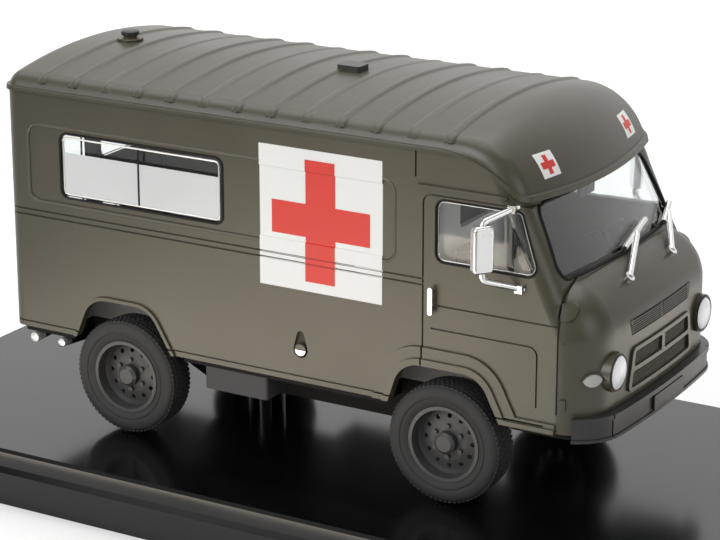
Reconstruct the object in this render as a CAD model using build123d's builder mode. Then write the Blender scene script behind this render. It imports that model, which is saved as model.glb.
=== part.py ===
from build123d import *
import os
from math import asin, atan2, cos, pi, radians, sin, sqrt

# Scale model of a military ambulance truck, screwed to its display plinth.
# X runs forward, Y to the truck's left and Z up, in millimetres. The origin is the
# middle of the plinth's underside. Heights named *_z are in this frame.

# Plinth
plinth_length = 168.0
plinth_width = 80.0
plinth_height = 10.0
plinth_edge = 0.5
groove_top_drop = 2.9
groove_height = 1.4
groove_depth = 1.2
deck_z = plinth_height
post_x = 20.0
post_radius = 3.2
post_height = 9.0
screw_radius = 1.4
screw_head_radius = 2.6
screw_head_height = 2.0
screw_bite = 4.5

# Wheels
wheelbase = 61.4
rear_axle_x = -33.7
front_axle_x = rear_axle_x + wheelbase
tyre_radius = 10.0
tyre_width = 6.0
tyre_deck_gap = 0.2
wheel_y = 20.5
rim_radius = 6.3
pin_radius = 0.75
pin_play = 0.05
dish_hole_count = 12
nut_count = 6
axle_z = deck_z + tyre_deck_gap + tyre_radius

# Body casting
body_half_width = 23.2
wall = 1.2
rear_x = -57.2
rear_corner_radius = 2.4
sill_z = deck_z + 15.9
nose_x = 54.4
nose_turn_radius = 9.0
nose_crown_radius = 220.0
nose_corner_radius = 7.0
nose_axis_x = nose_x - nose_turn_radius
nose_axis_z = deck_z + 30.5
screen_foot_x = 48.0
screen_foot_z = deck_z + 39.0
screen_top_x = 42.15
brow_x = 43.5
lip_z = deck_z + 51.2
screen_rake = (screen_foot_x - screen_top_x) / (lip_z - screen_foot_z)
cab_joint_x = 20.0
cab_crown_radius = 150.0
cab_corner_radius = 3.2

# Roof casting
roof_z = deck_z + 62.7
roof_turn_radius = 13.6
roof_axis_x = brow_x - sqrt(roof_turn_radius ** 2 - (lip_z - roof_z + roof_turn_radius) ** 2)
roof_axis_z = roof_z - roof_turn_radius
roof_crown_radius = 105.0
roof_shoulder_radius = 3.2
gutter_z = deck_z + 57.7
gutter_bend_x = 26.0
gutter_radius = 20.3
gutter_end_x = 40.1
gutter_height = 0.8
gutter_reach = 0.5
shelf_x = 40.6
rib_count = 13
rib_first_x = -49.4
rib_pitch = 6.45
rib_width = 0.7
rib_height = 0.3
faint_rib_height = 0.15
rib_foot_z = deck_z + 59.4

# Lines and raised edges on the casting
line_width = 0.3
line_depth = 0.3
line_bend = 1.5
raise_height = 0.4
lip_height = 0.75
arch_flange = 3.0
arch_lip = 1.1
rear_arch_lip = 0.6
hem_length = 9.0
hem_x = 42.8
panel_depth = 0.2
door_rear_x = 23.9
door_top_z = deck_z + 51.0
belt_z = deck_z + 36.7
belt_gap = 1.0

# Glazing
pane_drop = 0.3
pane_play = 0.1
flange_width = 0.6
flange_depth = 0.5
window_radius = 1.4
screen_radius = 2.2
load_window_x = -29.6
load_window_z = deck_z + 45.8
load_window_length = 32.4
load_window_height = 11.0

# Chassis base and cab floor
base_play = 0.1
base_inset = wall + base_play
base_z = deck_z + 14.7
base_top_z = sill_z + 1.4
well_half_length = 11.3
well_y = 16.4
rail_y = 11.5
rail_width = 2.0
rail_z = deck_z + 13.2
casing_radius = 1.7
casing_half_length = 16.0
differential_radius = 3.6
differential_y = 5.0
tub_thickness = 1.0
tub_top_z = base_top_z + tub_thickness
well_top_z = deck_z + 24.0

# Front fittings
bumper_x = 56.0
bumper_low_z = deck_z + 15.0
bumper_high_z = deck_z + 19.0
bumper_gap = 0.1
bumper_end_x = 50.2
bumper_band = 0.25
lamp_y = 16.5
lamp_z = deck_z + 25.2
lamp_x = 54.9
lamp_radius = 2.65
lamp_rim = 0.25
pod_radius = 3.15
insert_depth = 0.8
insert_play = 0.05
slot_depth = 0.5
louvre_count = 7
louvre_gap = 0.2
indicator_length = 3.3
indicator_height = 2.0
indicator_turn = 40.0
indicator_z = deck_z + 24.8
indicator_rim = 0.25
seam_y = 18.4
filler_x = 1.4
filler_z = deck_z + 21.4
filler_radius = 1.35
plate_width = 11.4
plate_height = 2.4
stay_radius = 0.55
stay_bend = 1.2
mirror_width = 3.4
mirror_height = 7.6
wiper_turn = 48.0
arm_radius = 0.55
blade_radius = 0.5
cab_mirror_x = 40.0
cab_mirror_z = deck_z + 48.0


def crowned_points(reach, side, crown, corner):
    """Where the side, corner arc and crown arc of a crowned end meet, as (along, across)."""
    crown_centre = reach - crown
    across = side - corner
    along = crown_centre + sqrt((crown - corner) ** 2 - across ** 2)
    turn = atan2(across, along - crown_centre)
    half = (turn + pi / 2) / 2
    return ((along, side),
            (along + corner * cos(half), across + corner * sin(half)),
            (crown_centre + crown * cos(turn), crown * sin(turn)))


def crowned_sketch(plane, back, reach, side, crown, corner):
    """A face with a straight back and a crowned, round-cornered end along local x."""
    start, middle, end = crowned_points(reach, side, crown, corner)
    with BuildSketch(plane) as sketch:
        with BuildLine():
            Polyline((start[0], -side), (back, -side), (back, side), start)
            ThreePointArc(start, middle, end)
            ThreePointArc(end, (reach, 0), (end[0], -end[1]))
            ThreePointArc((end[0], -end[1]), (middle[0], -middle[1]), (start[0], -side))
        make_face()
    return sketch.sketch


def nose_sketch(z, back, inset):
    """The truck's plan at nose height, inset from the outside of the casting."""
    return crowned_sketch(Plane.XY.offset(z), back, nose_x - inset, body_half_width - inset,
                          nose_crown_radius - inset, nose_corner_radius - inset)


def plan_block(inset, low, high):
    """An upright block of the truck's plan, for what fits inside the body."""
    with BuildPart() as block:
        extrude(nose_sketch(low, rear_x + inset, inset), amount=high - low)
        fillet(block.edges().filter_by(Axis.Z).group_by(Axis.X)[0], rear_corner_radius - inset)
    return block.part


def truck_hull(inset):
    """The body's outside, or a copy of it inset all round, open ended above the gutter."""
    side = body_half_width - inset
    rear = rear_x + inset
    low = sill_z if inset <= 0 else sill_z - wall
    high = gutter_z + 3.0
    height = high - nose_axis_z
    slope = sqrt(1 + screen_rake ** 2)
    screen_x = screen_foot_x + screen_rake * (screen_foot_z - nose_axis_z) - inset * slope
    with BuildPart() as hull:
        extrude(nose_sketch(low, rear, inset), amount=nose_axis_z - low)
        revolve(nose_sketch(nose_axis_z, nose_axis_x, inset),
                axis=Axis((nose_axis_x, 0, nose_axis_z), (0, -1, 0)), revolution_arc=90)
        with BuildSketch(Plane.XY.offset(nose_axis_z)):
            with Locations(((rear + cab_joint_x) / 2, 0)):
                Rectangle(cab_joint_x - rear, 2 * side)
        extrude(amount=height)
        cab = crowned_sketch(Plane.XY.offset(nose_axis_z), cab_joint_x, screen_x, side,
                             cab_crown_radius - inset, cab_corner_radius - inset)
        extrude(cab, amount=height * slope, dir=(-screen_rake, 0, 1))
        fillet(hull.edges().filter_by(Axis.Z).group_by(Axis.X)[0], rear_corner_radius - inset)
    return hull.part


def roof_solid(inset):
    """The roof's outside, or a copy of it inset all round, turned down at the front."""
    def section(x):
        return crowned_sketch(Plane((x, 0, 0), x_dir=(0, 0, 1), z_dir=(1, 0, 0)), roof_axis_z + 1,
                              roof_z - inset, body_half_width - inset,
                              roof_crown_radius - inset, roof_shoulder_radius - inset)
    with BuildPart() as roof:
        extrude(section(rear_x + inset), amount=roof_axis_x - rear_x - inset)
        revolve(section(roof_axis_x), axis=Axis((roof_axis_x, 0, roof_axis_z), (0, 1, 0)),
                revolution_arc=90)
        fillet(roof.edges().filter_by(Axis.Z).group_by(Axis.X)[0], rear_corner_radius - inset)
    return roof.part


def over_gutter(rise):
    """All the room above the gutter line, lifted by rise."""
    turn = asin((gutter_end_x - gutter_bend_x) / gutter_radius)
    centre_z = gutter_z - gutter_radius + rise
    end_z = centre_z + gutter_radius * cos(turn)
    lip_slope = (lip_z + rise - end_z) / (brow_x - gutter_end_x)
    lip_x = brow_x + 4
    rear, top = rear_x - 5, roof_z + 10
    with BuildPart() as room:
        with BuildSketch(Plane.XZ):
            with BuildLine():
                Polyline((rear, top), (rear, gutter_z + rise), (gutter_bend_x, gutter_z + rise))
                ThreePointArc((gutter_bend_x, gutter_z + rise),
                              (gutter_bend_x + gutter_radius * sin(turn / 2),
                               centre_z + gutter_radius * cos(turn / 2)),
                              (gutter_end_x, end_z))
                Polyline((gutter_end_x, end_z), (lip_x, lip_z + rise + lip_slope * 4), (lip_x, top),
                         (rear, top))
            make_face()
        extrude(amount=body_half_width + 10, both=True)
    return room.part


def across_truck(sketch):
    """A side-view sketch pushed through the truck both ways."""
    with BuildPart() as cutter:
        extrude(sketch, amount=body_half_width + 10, both=True)
    return cutter.part


def outline(plane, points, radius, grow=0):
    """A rounded polygon on a plane, grown or shrunk all round."""
    with BuildSketch(plane) as sketch:
        Polygon(*points, align=None)
        fillet(sketch.vertices(), radius)
        if grow:
            offset(amount=grow, kind=Kind.ARC, mode=Mode.REPLACE)
    return sketch.sketch


def arch_sketch(arch, grow):
    """A wheel arch seen from the side, grown by the width of its flange."""
    axle_x, rear_foot, rear_top, front_top, front_foot, top, radius = arch
    foot_z = sill_z - 6
    with BuildSketch(Plane.XZ) as sketch:
        Polygon((axle_x + rear_foot - 1.5, foot_z), (axle_x + rear_foot, sill_z),
                (axle_x + rear_top, deck_z + top), (axle_x + front_top, deck_z + top),
                (axle_x + front_foot, sill_z),
                (axle_x + front_foot + 1.5, foot_z), align=None)
        fillet(sketch.vertices().group_by(Axis.Y)[-1], radius)
        if grow:
            offset(amount=grow, kind=Kind.ARC, mode=Mode.REPLACE)
    return sketch.sketch


def mirrored(piece):
    """The left-hand twin of a right-hand piece."""
    with BuildPart() as twin:
        mirror(piece.part, about=Plane.XZ)
    return twin


def trapezium(low_half, low_z, high_half, high_z):
    """Corners of an upright opening that is the same on both sides of the middle."""
    return [(-low_half, low_z), (low_half, low_z), (high_half, high_z), (-high_half, high_z)]


# Solids that the body, roof and glazing are cut from
hull = truck_hull(0)
hull_inside = truck_hull(wall)
hull_line = truck_hull(line_depth)
hull_panel = truck_hull(panel_depth)
hull_raised = truck_hull(-raise_height)
hull_lip = truck_hull(-lip_height)
hull_pane = truck_hull(pane_drop)
hull_flange = truck_hull(wall + flange_depth)
hull_slot = truck_hull(slot_depth)
hull_insert = truck_hull(insert_depth)
roof_room = over_gutter(0)

# Wheel arches: axle x, rear foot, rear top, front top, front foot, top height, corner radius
front_arch = (front_axle_x, -9.7, -7.4, 6.6, 10.2, 23.0, 4.8)
rear_arch = (rear_axle_x, -9.7, -6.6, 5.4, 9.8, 23.3, 5.0)

# Windows seen from the side and from the front
load_corners = [(load_window_x + sx * load_window_length / 2, load_window_z + sz * load_window_height / 2)
                for sx, sz in ((-1, -1), (1, -1), (1, 1), (-1, 1))]
door_corners = [(26.2, deck_z + 40.4), (43.9, deck_z + 40.4), (40.3, deck_z + 50.3), (26.2, deck_z + 50.3)]
screen_corners = trapezium(20.4, deck_z + 39.5, 18.7, deck_z + 50.5)
rear_window_corners = [(y, deck_z + z) for y, z in ((2.4, 40.0), (15.6, 40.0), (15.6, 51.0), (2.4, 51.0))]

# Grille outlines, seen from the front
louvre_corners = trapezium(10.9, deck_z + 29.4, 11.7, deck_z + 32.1)
radiator_corners = trapezium(12.4, deck_z + 20.2, 10.8, deck_z + 27.4)
radiator_recesses = [
    trapezium(11.2, deck_z + 20.9, 10.7, deck_z + 23.5),
    [(-10.5, deck_z + 24.2), (-0.5, deck_z + 24.2), (-0.5, deck_z + 26.7), (-10.0, deck_z + 26.7)],
    [(0.5, deck_z + 24.2), (10.5, deck_z + 24.2), (10.0, deck_z + 26.7), (0.5, deck_z + 26.7)],
]
nose_front = Plane.YZ.offset(nose_axis_x)


def front_room(corners, radius, grow=0):
    """A front-view outline pushed forward through the nose."""
    with BuildPart() as room:
        extrude(outline(nose_front, corners, radius, grow), amount=nose_turn_radius + 5)
    return room.part


def indicator_room(side, grow):
    """A leaf-shaped outline on the nose's corner, pushed out square to it."""
    centre = crowned_points(nose_x, body_half_width, nose_crown_radius, nose_corner_radius)[0][0]
    turn = radians(indicator_turn)
    outward = (cos(turn), side * sin(turn), 0)
    middle = (centre + nose_corner_radius * outward[0],
              side * (body_half_width - nose_corner_radius) + nose_corner_radius * outward[1], indicator_z)
    with BuildPart() as room:
        with BuildSketch(Plane(middle, x_dir=(-outward[1], outward[0], 0), z_dir=outward).offset(-2)):
            with BuildLine():
                half, rise = indicator_length / 2 + grow, indicator_height / 2 + grow
                ThreePointArc((-half, 0), (0, rise), (half, 0))
                ThreePointArc((half, 0), (0, -rise), (-half, 0))
            make_face()
        extrude(amount=4)
    return room.part


with BuildPart() as plinth:
    with BuildSketch():
        Rectangle(plinth_length, plinth_width)
    extrude(amount=plinth_height)
    chamfer(plinth.faces().sort_by(Axis.Z)[-1].edges(), plinth_edge)
    with BuildSketch(Plane.XY.offset(plinth_height - groove_top_drop - groove_height)):
        Rectangle(plinth_length, plinth_width)
        Rectangle(plinth_length - 2 * groove_depth, plinth_width - 2 * groove_depth, mode=Mode.SUBTRACT)
    extrude(amount=groove_height, mode=Mode.SUBTRACT)
    with BuildSketch(Plane.XY.offset(deck_z)):
        with Locations((-post_x, 0), (post_x, 0)):
            Circle(post_radius)
    extrude(amount=post_height)
    for radius, depth in ((screw_head_radius, screw_head_height), (screw_radius, deck_z + post_height)):
        with BuildSketch():
            with Locations((-post_x, 0), (post_x, 0)):
                Circle(radius + pin_play)
        extrude(amount=depth, mode=Mode.SUBTRACT)

with BuildPart() as plinth_screws:
    for radius, low, high in ((screw_head_radius, 0.4, screw_head_height),
                              (screw_radius, screw_head_height, deck_z + post_height + screw_bite)):
        with BuildSketch(Plane.XY.offset(low)):
            with Locations((-post_x, 0), (post_x, 0)):
                Circle(radius)
        extrude(amount=high - low)

with BuildPart() as chassis_base:
    add(plan_block(base_inset, base_z, base_top_z))
    for axle_x in (rear_axle_x, front_axle_x):
        for side in (-1, 1):
            with BuildSketch(Plane.XY.offset(base_z)):
                with Locations((axle_x, side * (well_y + 10))):
                    Rectangle(2 * well_half_length, 20)
            extrude(amount=base_top_z - base_z, mode=Mode.SUBTRACT)
    with BuildSketch(Plane.XY.offset(rail_z)):
        with Locations((-2, -rail_y), (-2, rail_y)):
            Rectangle(100, rail_width)
        with Locations((-51, 0), (12, 0), (44, 0)):
            Rectangle(2, 2 * rail_y)
    extrude(amount=base_z - rail_z)
    with BuildSketch(Plane.XY.offset(deck_z + post_height)):
        with Locations((-post_x, 0), (post_x, 0)):
            Circle(post_radius)
    extrude(amount=base_z - deck_z - post_height)
    with BuildSketch(Plane.XY.offset(deck_z + post_height)):
        with Locations((-post_x, 0), (post_x, 0)):
            Circle(screw_radius + pin_play)
    extrude(amount=screw_bite + pin_play, mode=Mode.SUBTRACT)


def axle_casing(axle_x):
    """A beam axle with its differential, bored for the turning pin."""
    with BuildPart() as casing:
        with BuildSketch(Plane((axle_x, -casing_half_length, axle_z), z_dir=(0, 1, 0))):
            Circle(casing_radius)
        extrude(amount=2 * casing_half_length)
        with Locations((axle_x, differential_y, axle_z)):
            Sphere(differential_radius)
        with BuildSketch(Plane((axle_x, -casing_half_length, axle_z), z_dir=(0, 1, 0))):
            Circle(pin_radius + pin_play)
        extrude(amount=2 * casing_half_length, mode=Mode.SUBTRACT)
    return casing


front_axle_casing = axle_casing(front_axle_x)
rear_axle_casing = axle_casing(rear_axle_x)

# Leaf spring packs: half length of each leaf, from the rail down
leaf_thickness = (rail_z - axle_z - casing_radius) / 3
with BuildPart() as leaf_springs:
    for row, half_length in enumerate((10.0, 7.0, 4.0)):
        with BuildSketch(Plane.XY.offset(rail_z - (row + 1) * leaf_thickness)):
            with Locations(*[(axle_x, side * rail_y) for axle_x in (rear_axle_x, front_axle_x)
                             for side in (-1, 1)]):
                Rectangle(2 * half_length, rail_width - 0.4)
        extrude(amount=leaf_thickness)

with BuildPart() as drive_line:
    with BuildSketch(Plane.XY.offset(axle_z - 1.5)):
        with Locations((3, differential_y)):
            Rectangle(11, 8)
    extrude(amount=rail_z - axle_z + 1.5)
    fillet(drive_line.edges().filter_by(Axis.Z), 1.5)
    with BuildSketch(Plane((rear_axle_x, differential_y, axle_z), z_dir=(1, 0, 0))):
        Circle(0.8)
    extrude(amount=wheelbase)
    with BuildSketch(Plane.XY.offset(rail_z)):
        with Locations((3, differential_y)):
            Rectangle(5, 6)
    extrude(amount=base_z - rail_z)
    for casing in (front_axle_casing, rear_axle_casing):
        add(casing.part, mode=Mode.SUBTRACT)
    for axle_x in (rear_axle_x, front_axle_x):
        with BuildSketch(Plane((axle_x, -casing_half_length, axle_z), z_dir=(0, 1, 0))):
            Circle(differential_radius)
        extrude(amount=2 * casing_half_length, mode=Mode.SUBTRACT)

with BuildPart() as exhaust:
    with BuildLine() as pipe:
        FilletPolyline((6, -6.5, deck_z + 13.3), (-41, -6.5, deck_z + 13.3), (-48.2, -8.5, deck_z + 12.0),
                       (-48.2, -21.6, deck_z + 13.3), radius=1.5)
    with BuildSketch(Plane((6, -6.5, deck_z + 13.3), z_dir=(-1, 0, 0))):
        Circle(0.7)
    sweep()
    with BuildSketch(Plane((-15, -6.5, deck_z + 12.7), z_dir=(1, 0, 0))):
        Circle(2.0)
    extrude(amount=15)
    with Locations((4, -6.5, base_z - 0.5), (-40, -6.5, base_z - 0.5)):
        Box(1.2, 1.4, 1.0)

with BuildPart() as tail_crossbar:
    with BuildSketch(Plane((-54.0, -21.6, deck_z + 13.3), z_dir=(0, 1, 0))):
        Circle(0.8)
    extrude(amount=43.2)
    with Locations(*[(-53.4, y, base_z - 0.7) for y in (-14, 14)]):
        Box(1.6, 2, 1.4)

# Boxes hung under the sills: x, y, length, width, lowest height
with BuildPart() as sill_boxes:
    for x, y, length, width, low in ((-12.1, -18.4, 12.3, 7.0, 10.8), (-4.0, 18.4, 22.0, 7.0, 9.5)):
        with BuildSketch(Plane.XY.offset(deck_z + low)):
            with Locations((x, y)):
                RectangleRounded(length, width, 0.6)
        extrude(amount=base_z - deck_z - low)

# Lines engraved along both sides: path points, in side view
door_front = [(door_rear_x, sill_z + 6), (door_rear_x, door_top_z), (41.0, door_top_z),
              (46.9, deck_z + 39.2), (47.4, deck_z + 36), (47.4, deck_z + 19)]
side_lines = [
    [(rear_x, belt_z - belt_gap / 2), (door_rear_x, belt_z - belt_gap / 2)],
    [(rear_x, belt_z + belt_gap / 2), (door_rear_x, belt_z + belt_gap / 2)],
    door_front,
    [(22.5, deck_z + 53.5), (22.5, gutter_z)],
    [(26.6, deck_z + 33.2), (47.2, deck_z + 33.2)],
    [(25.4, deck_z + 29.3), (43.9, deck_z + 29.3), (43.9, deck_z + 19.5)],
    [(rear_x, sill_z + 1.0), (nose_axis_x, sill_z + 1.0)],
]
with BuildSketch(Plane.XZ) as side_line_sketch:
    for points in side_lines:
        with BuildLine(mode=Mode.PRIVATE) as path:
            if len(points) > 2:
                FilletPolyline(*points, radius=line_bend)
            else:
                Line(*points)
        trace(path.line, line_width=line_width)

with BuildSketch(Plane.XZ) as side_panel_sketch:
    with Locations((-16.8, deck_z + 45.6)):
        RectangleRounded(71.4, 13.4, 2.0)

# Drip rail, door hinge and corner blister
with BuildSketch(Plane.XZ) as side_fittings_sketch:
    with Locations((30.7, deck_z + 52.2)):
        Rectangle(15.4, 0.5)
    with Locations((48.4, deck_z + 20.8)):
        Rectangle(0.9, 1.7)
    with Locations((48.2, deck_z + 35.5)):
        Ellipse(1.5, 1.35)

# Hinges of the rear doors
with BuildSketch(Plane.YZ.offset(rear_x - 2)) as rear_hinge_sketch:
    with Locations(*[(y, deck_z + z) for y in (-18.4, 18.4) for z in (21, 36.7, 52)]):
        RectangleRounded(2.0, 0.9, 0.2)

def sill_hem(height):
    """The folded edge under the door, seen from the side."""
    with BuildSketch(Plane.XZ) as sketch:
        with Locations((hem_x, sill_z + height / 2)):
            Rectangle(hem_length, height)
    return sketch.sketch


def side_band(level, *sketches):
    """Side-view shapes that stand proud of the body, up to a larger copy of its hull."""
    with BuildPart() as band:
        for sketch in sketches:
            add(across_truck(sketch))
        for arch in (front_arch, rear_arch):
            add(across_truck(arch_sketch(arch, 0)), mode=Mode.SUBTRACT)
        add(level, mode=Mode.INTERSECT)
        add(hull, mode=Mode.SUBTRACT)
    return band.part


with BuildPart() as side_edges:
    add(side_band(hull_raised, arch_sketch(front_arch, arch_flange), arch_sketch(rear_arch, rear_arch_lip),
                  sill_hem(2 * lip_height), side_fittings_sketch.sketch))
    add(side_band(hull_lip, arch_sketch(front_arch, arch_lip), sill_hem(lip_height)))

with BuildPart() as rear_hinges:
    extrude(rear_hinge_sketch.sketch, amount=4)
    add(hull_raised, mode=Mode.INTERSECT)
    add(hull, mode=Mode.SUBTRACT)

with BuildPart() as side_lines_cut:
    add(across_truck(side_line_sketch.sketch))
    add(hull_line, mode=Mode.SUBTRACT)

with BuildPart() as side_panels_cut:
    add(across_truck(side_panel_sketch.sketch))
    add(hull_panel, mode=Mode.SUBTRACT)

# Rear door lines, in rear view
with BuildSketch(Plane.YZ.offset(rear_x)) as rear_line_sketch:
    with Locations((0, deck_z + 36.5)):
        Rectangle(36, 38)
        Rectangle(36 - 2 * line_width, 38 - 2 * line_width, mode=Mode.SUBTRACT)
        Rectangle(line_width, 38)

with BuildPart() as body_shell:
    add(hull)
    add(hull_inside, mode=Mode.SUBTRACT)
    add(roof_room, mode=Mode.SUBTRACT)
    add(side_edges.part)
    add(rear_hinges.part)
    add(side_panels_cut.part, mode=Mode.SUBTRACT)
    add(side_lines_cut.part, mode=Mode.SUBTRACT)
    extrude(rear_line_sketch.sketch, amount=line_depth, mode=Mode.SUBTRACT)
    for sketch in (outline(Plane.XZ, load_corners, window_radius),
                   outline(Plane.XZ, door_corners, window_radius),
                   arch_sketch(front_arch, 0), arch_sketch(rear_arch, 0)):
        extrude(sketch, amount=body_half_width + 10, both=True, mode=Mode.SUBTRACT)
    extrude(outline(Plane.YZ.offset(36), screen_corners, screen_radius), amount=20, mode=Mode.SUBTRACT)
    for side in (-1, 1):
        corners = [(side * y, z) for y, z in rear_window_corners]
        extrude(outline(Plane.YZ.offset(rear_x - 1), corners, window_radius), amount=wall + 1.5,
                mode=Mode.SUBTRACT)
        with BuildSketch(Plane((lamp_x - 6.5, side * lamp_y, lamp_z), z_dir=(1, 0, 0))):
            Circle(pod_radius)
        extrude(amount=6.2)
        add(hull_inside, mode=Mode.SUBTRACT)
        with BuildSketch(Plane((lamp_x - 1.2, side * lamp_y, lamp_z), z_dir=(1, 0, 0))):
            Circle(lamp_radius + lamp_rim + pane_play)
        extrude(amount=4, mode=Mode.SUBTRACT)
    with BuildPart(mode=Mode.PRIVATE) as insets:
        add(front_room(louvre_corners, 0.4))
        add(front_room(radiator_corners, 1.2))
        for side in (-1, 1):
            add(indicator_room(side, insert_play))
        add(hull_insert, mode=Mode.SUBTRACT)
    add(insets.part, mode=Mode.SUBTRACT)
    with BuildPart(mode=Mode.PRIVATE) as rim_rooms:
        for side in (-1, 1):
            add(indicator_room(side, indicator_rim + insert_play))
        add(hull, mode=Mode.SUBTRACT)
    add(rim_rooms.part, mode=Mode.SUBTRACT)
    with BuildPart(mode=Mode.PRIVATE) as filler:
        with BuildSketch(Plane.XZ) as filler_sketch:
            with Locations((filler_x, filler_z)):
                Circle(filler_radius)
            with Locations((filler_x, filler_z + 2.5)):
                Circle(filler_radius / 2)
            make_hull()
        extrude(amount=body_half_width + 10)
        add(hull_slot, mode=Mode.SUBTRACT)
    add(filler.part, mode=Mode.SUBTRACT)

roof_outside = roof_solid(0)

# The brow overhangs the windscreen, so a shelf behind it closes the roof onto the windscreen's header
with BuildPart() as brow_shelf:
    with Locations((brow_x, 0, lip_z)):
        Box(2 * (brow_x - shelf_x), 2 * body_half_width, 8)
    add(over_gutter(gutter_height), mode=Mode.SUBTRACT)
with BuildPart() as roof_inside_room:
    add(roof_solid(wall))
    add(brow_shelf.part, mode=Mode.SUBTRACT)
roof_inside = roof_inside_room.part
with BuildPart() as gutter:
    add(roof_solid(-gutter_reach))
    add(roof_room, mode=Mode.INTERSECT)
    add(over_gutter(gutter_height), mode=Mode.SUBTRACT)


def roof_ribs(rows, height):
    """Ribs across the roof, ending on its shoulders."""
    with BuildPart() as ribs:
        with Locations(*[(rib_first_x + row * rib_pitch, 0, rib_foot_z + 5) for row in rows]):
            Box(rib_width, 60, 10)
        add(roof_solid(-height), mode=Mode.INTERSECT)
    return ribs.part


faint_rows = [row for row in range(rib_count) if row % 3 == 2]
bold_rows = [row for row in range(rib_count) if row % 3 != 2]
with BuildPart() as roof_shell:
    add(roof_outside)
    add(roof_room, mode=Mode.INTERSECT)
    add(gutter.part)
    add(roof_ribs(bold_rows, rib_height))
    add(roof_ribs(faint_rows, faint_rib_height))
    add(roof_inside, mode=Mode.SUBTRACT)

with BuildPart() as roof_vent:
    for radius, low, high in ((2.3, -0.3, 0.5), (1.2, 0.5, 0.9), (1.6, 0.9, 1.8)):
        with BuildSketch(Plane((-47.3, 0, roof_z + low))):
            Circle(radius)
        extrude(amount=high - low)
    add(roof_shell.part, mode=Mode.SUBTRACT)

with BuildPart() as roof_cowl:
    with BuildSketch(Plane((-2.4, 0, roof_z - 0.3))):
        RectangleRounded(4.4, 3.4, 0.5)
    extrude(amount=1.3)
    add(roof_shell.part, mode=Mode.SUBTRACT)


def pane(opening, flange):
    """A pane that follows the casting: raised into its opening, with a flange behind it."""
    with BuildPart() as glass:
        add(hull_pane)
        add(hull_inside, mode=Mode.SUBTRACT)
        add(opening, mode=Mode.INTERSECT)
        with BuildPart(mode=Mode.PRIVATE) as behind:
            add(hull_inside)
            add(hull_flange, mode=Mode.SUBTRACT)
            add(flange, mode=Mode.INTERSECT)
        add(behind.part)
    return glass


def pane_room(plane, corners, radius, grow, reach):
    """An opening's outline, grown or shrunk, pushed along its plane's normal."""
    with BuildPart() as room:
        extrude(outline(plane, corners, radius, grow), amount=reach)
    return room.part


def glazing(plane, corners, radius, reach):
    """The pane for one opening."""
    return pane(pane_room(plane, corners, radius, -pane_play, reach),
                pane_room(plane, corners, radius, flange_width, reach))


right_side = Plane.XZ.offset(body_half_width - 2 * wall)
windscreen_glass = glazing(Plane.YZ.offset(36), screen_corners, screen_radius, 20)
cab_glass_right = glazing(right_side, door_corners, window_radius, 5)
cab_glass_left = mirrored(cab_glass_right)
load_glass_right = glazing(right_side, load_corners, window_radius, 5)
load_glass_left = mirrored(load_glass_right)
rear_pane_right = glazing(Plane.YZ.offset(rear_x - 1), [(-y, z) for y, z in rear_window_corners],
                          window_radius, 5)
with BuildPart() as rear_glass:
    add(rear_pane_right.part)
    mirror(rear_pane_right.part, about=Plane.XZ)

with BuildPart() as interior_tub:
    add(plan_block(base_inset, base_top_z, tub_top_z))
    with Locations(*[(axle_x, side * (well_y - 1 + 3), (base_top_z + well_top_z) / 2)
                     for axle_x in (rear_axle_x, front_axle_x) for side in (-1, 1)]):
        Box(2 * well_half_length + 2, 6, well_top_z - base_top_z)
    with Locations(*[(axle_x, side * (well_y + 10), (base_top_z + well_top_z) / 2 - 1)
                     for axle_x in (rear_axle_x, front_axle_x) for side in (-1, 1)]):
        Box(2 * well_half_length, 20, well_top_z - base_top_z, mode=Mode.SUBTRACT)
    with BuildSketch(Plane.XY.offset(base_top_z)):
        with Locations((34, 0)):
            RectangleRounded(20, 9, 1.0)
    extrude(amount=11)

with BuildPart() as cab_seats:
    for y in (-10.2, 10.2):
        for x, length, low, high in ((29.5, 8.0, tub_top_z, deck_z + 27.5),
                                     (26.3, 2.2, deck_z + 27.5, deck_z + 40.0)):
            with BuildSketch(Plane.XY.offset(low)):
                with Locations((x, y)):
                    RectangleRounded(length, 9.6, 0.9)
            extrude(amount=high - low)

with BuildPart() as dashboard:
    with BuildSketch(Plane.XZ):
        Polygon((41.5, deck_z + 31.0), (43.0, deck_z + 37.5), (52.0, deck_z + 37.5), (52.0, deck_z + 31.0),
                align=None)
    extrude(amount=body_half_width, both=True)
    add(truck_hull(base_inset), mode=Mode.INTERSECT)

with BuildPart() as steering_wheel:
    column = Plane((38.5, 10.2, deck_z + 38.5), x_dir=(0, 1, 0), z_dir=(-0.5, 0, 0.86))
    with BuildSketch(column.offset(-6)):
        Circle(0.5)
    extrude(amount=6.2)
    with BuildSketch(column):
        Circle(3.6)
        Circle(3.1, mode=Mode.SUBTRACT)
        for angle in (0, 120, 240):
            with Locations(Rotation(0, 0, angle)):
                Rectangle(3.4, 0.5, align=(Align.MIN, Align.CENTER))
    extrude(amount=0.5)
    add(dashboard.part, mode=Mode.SUBTRACT)

with BuildPart() as bulkhead:
    with BuildSketch(Plane.YZ.offset(21.0)):
        with Locations((0, (well_top_z + gutter_z) / 2)):
            Rectangle(2 * (body_half_width - base_inset), gutter_z - well_top_z)
        with Locations((0, (tub_top_z + well_top_z) / 2)):
            Rectangle(2 * (well_y - tub_thickness - base_play), well_top_z - tub_top_z)
        with Locations((0, deck_z + 45.5)):
            RectangleRounded(14, 9, 1.0, mode=Mode.SUBTRACT)
    extrude(amount=1.0)

with BuildPart() as litters:
    for side in (-1, 1):
        with BuildSketch(Plane.XY.offset(deck_z + 28)):
            with Locations((-24, side * 16.2)):
                RectangleRounded(46, 11.2, 1.0)
        extrude(amount=1.4)
        with BuildSketch(Plane.XY.offset(tub_top_z)):
            with Locations(*[(x, side * 13.0) for x in (-46, -24, -2)]):
                Circle(0.6)
        extrude(amount=deck_z + 28 - tub_top_z)


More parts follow.
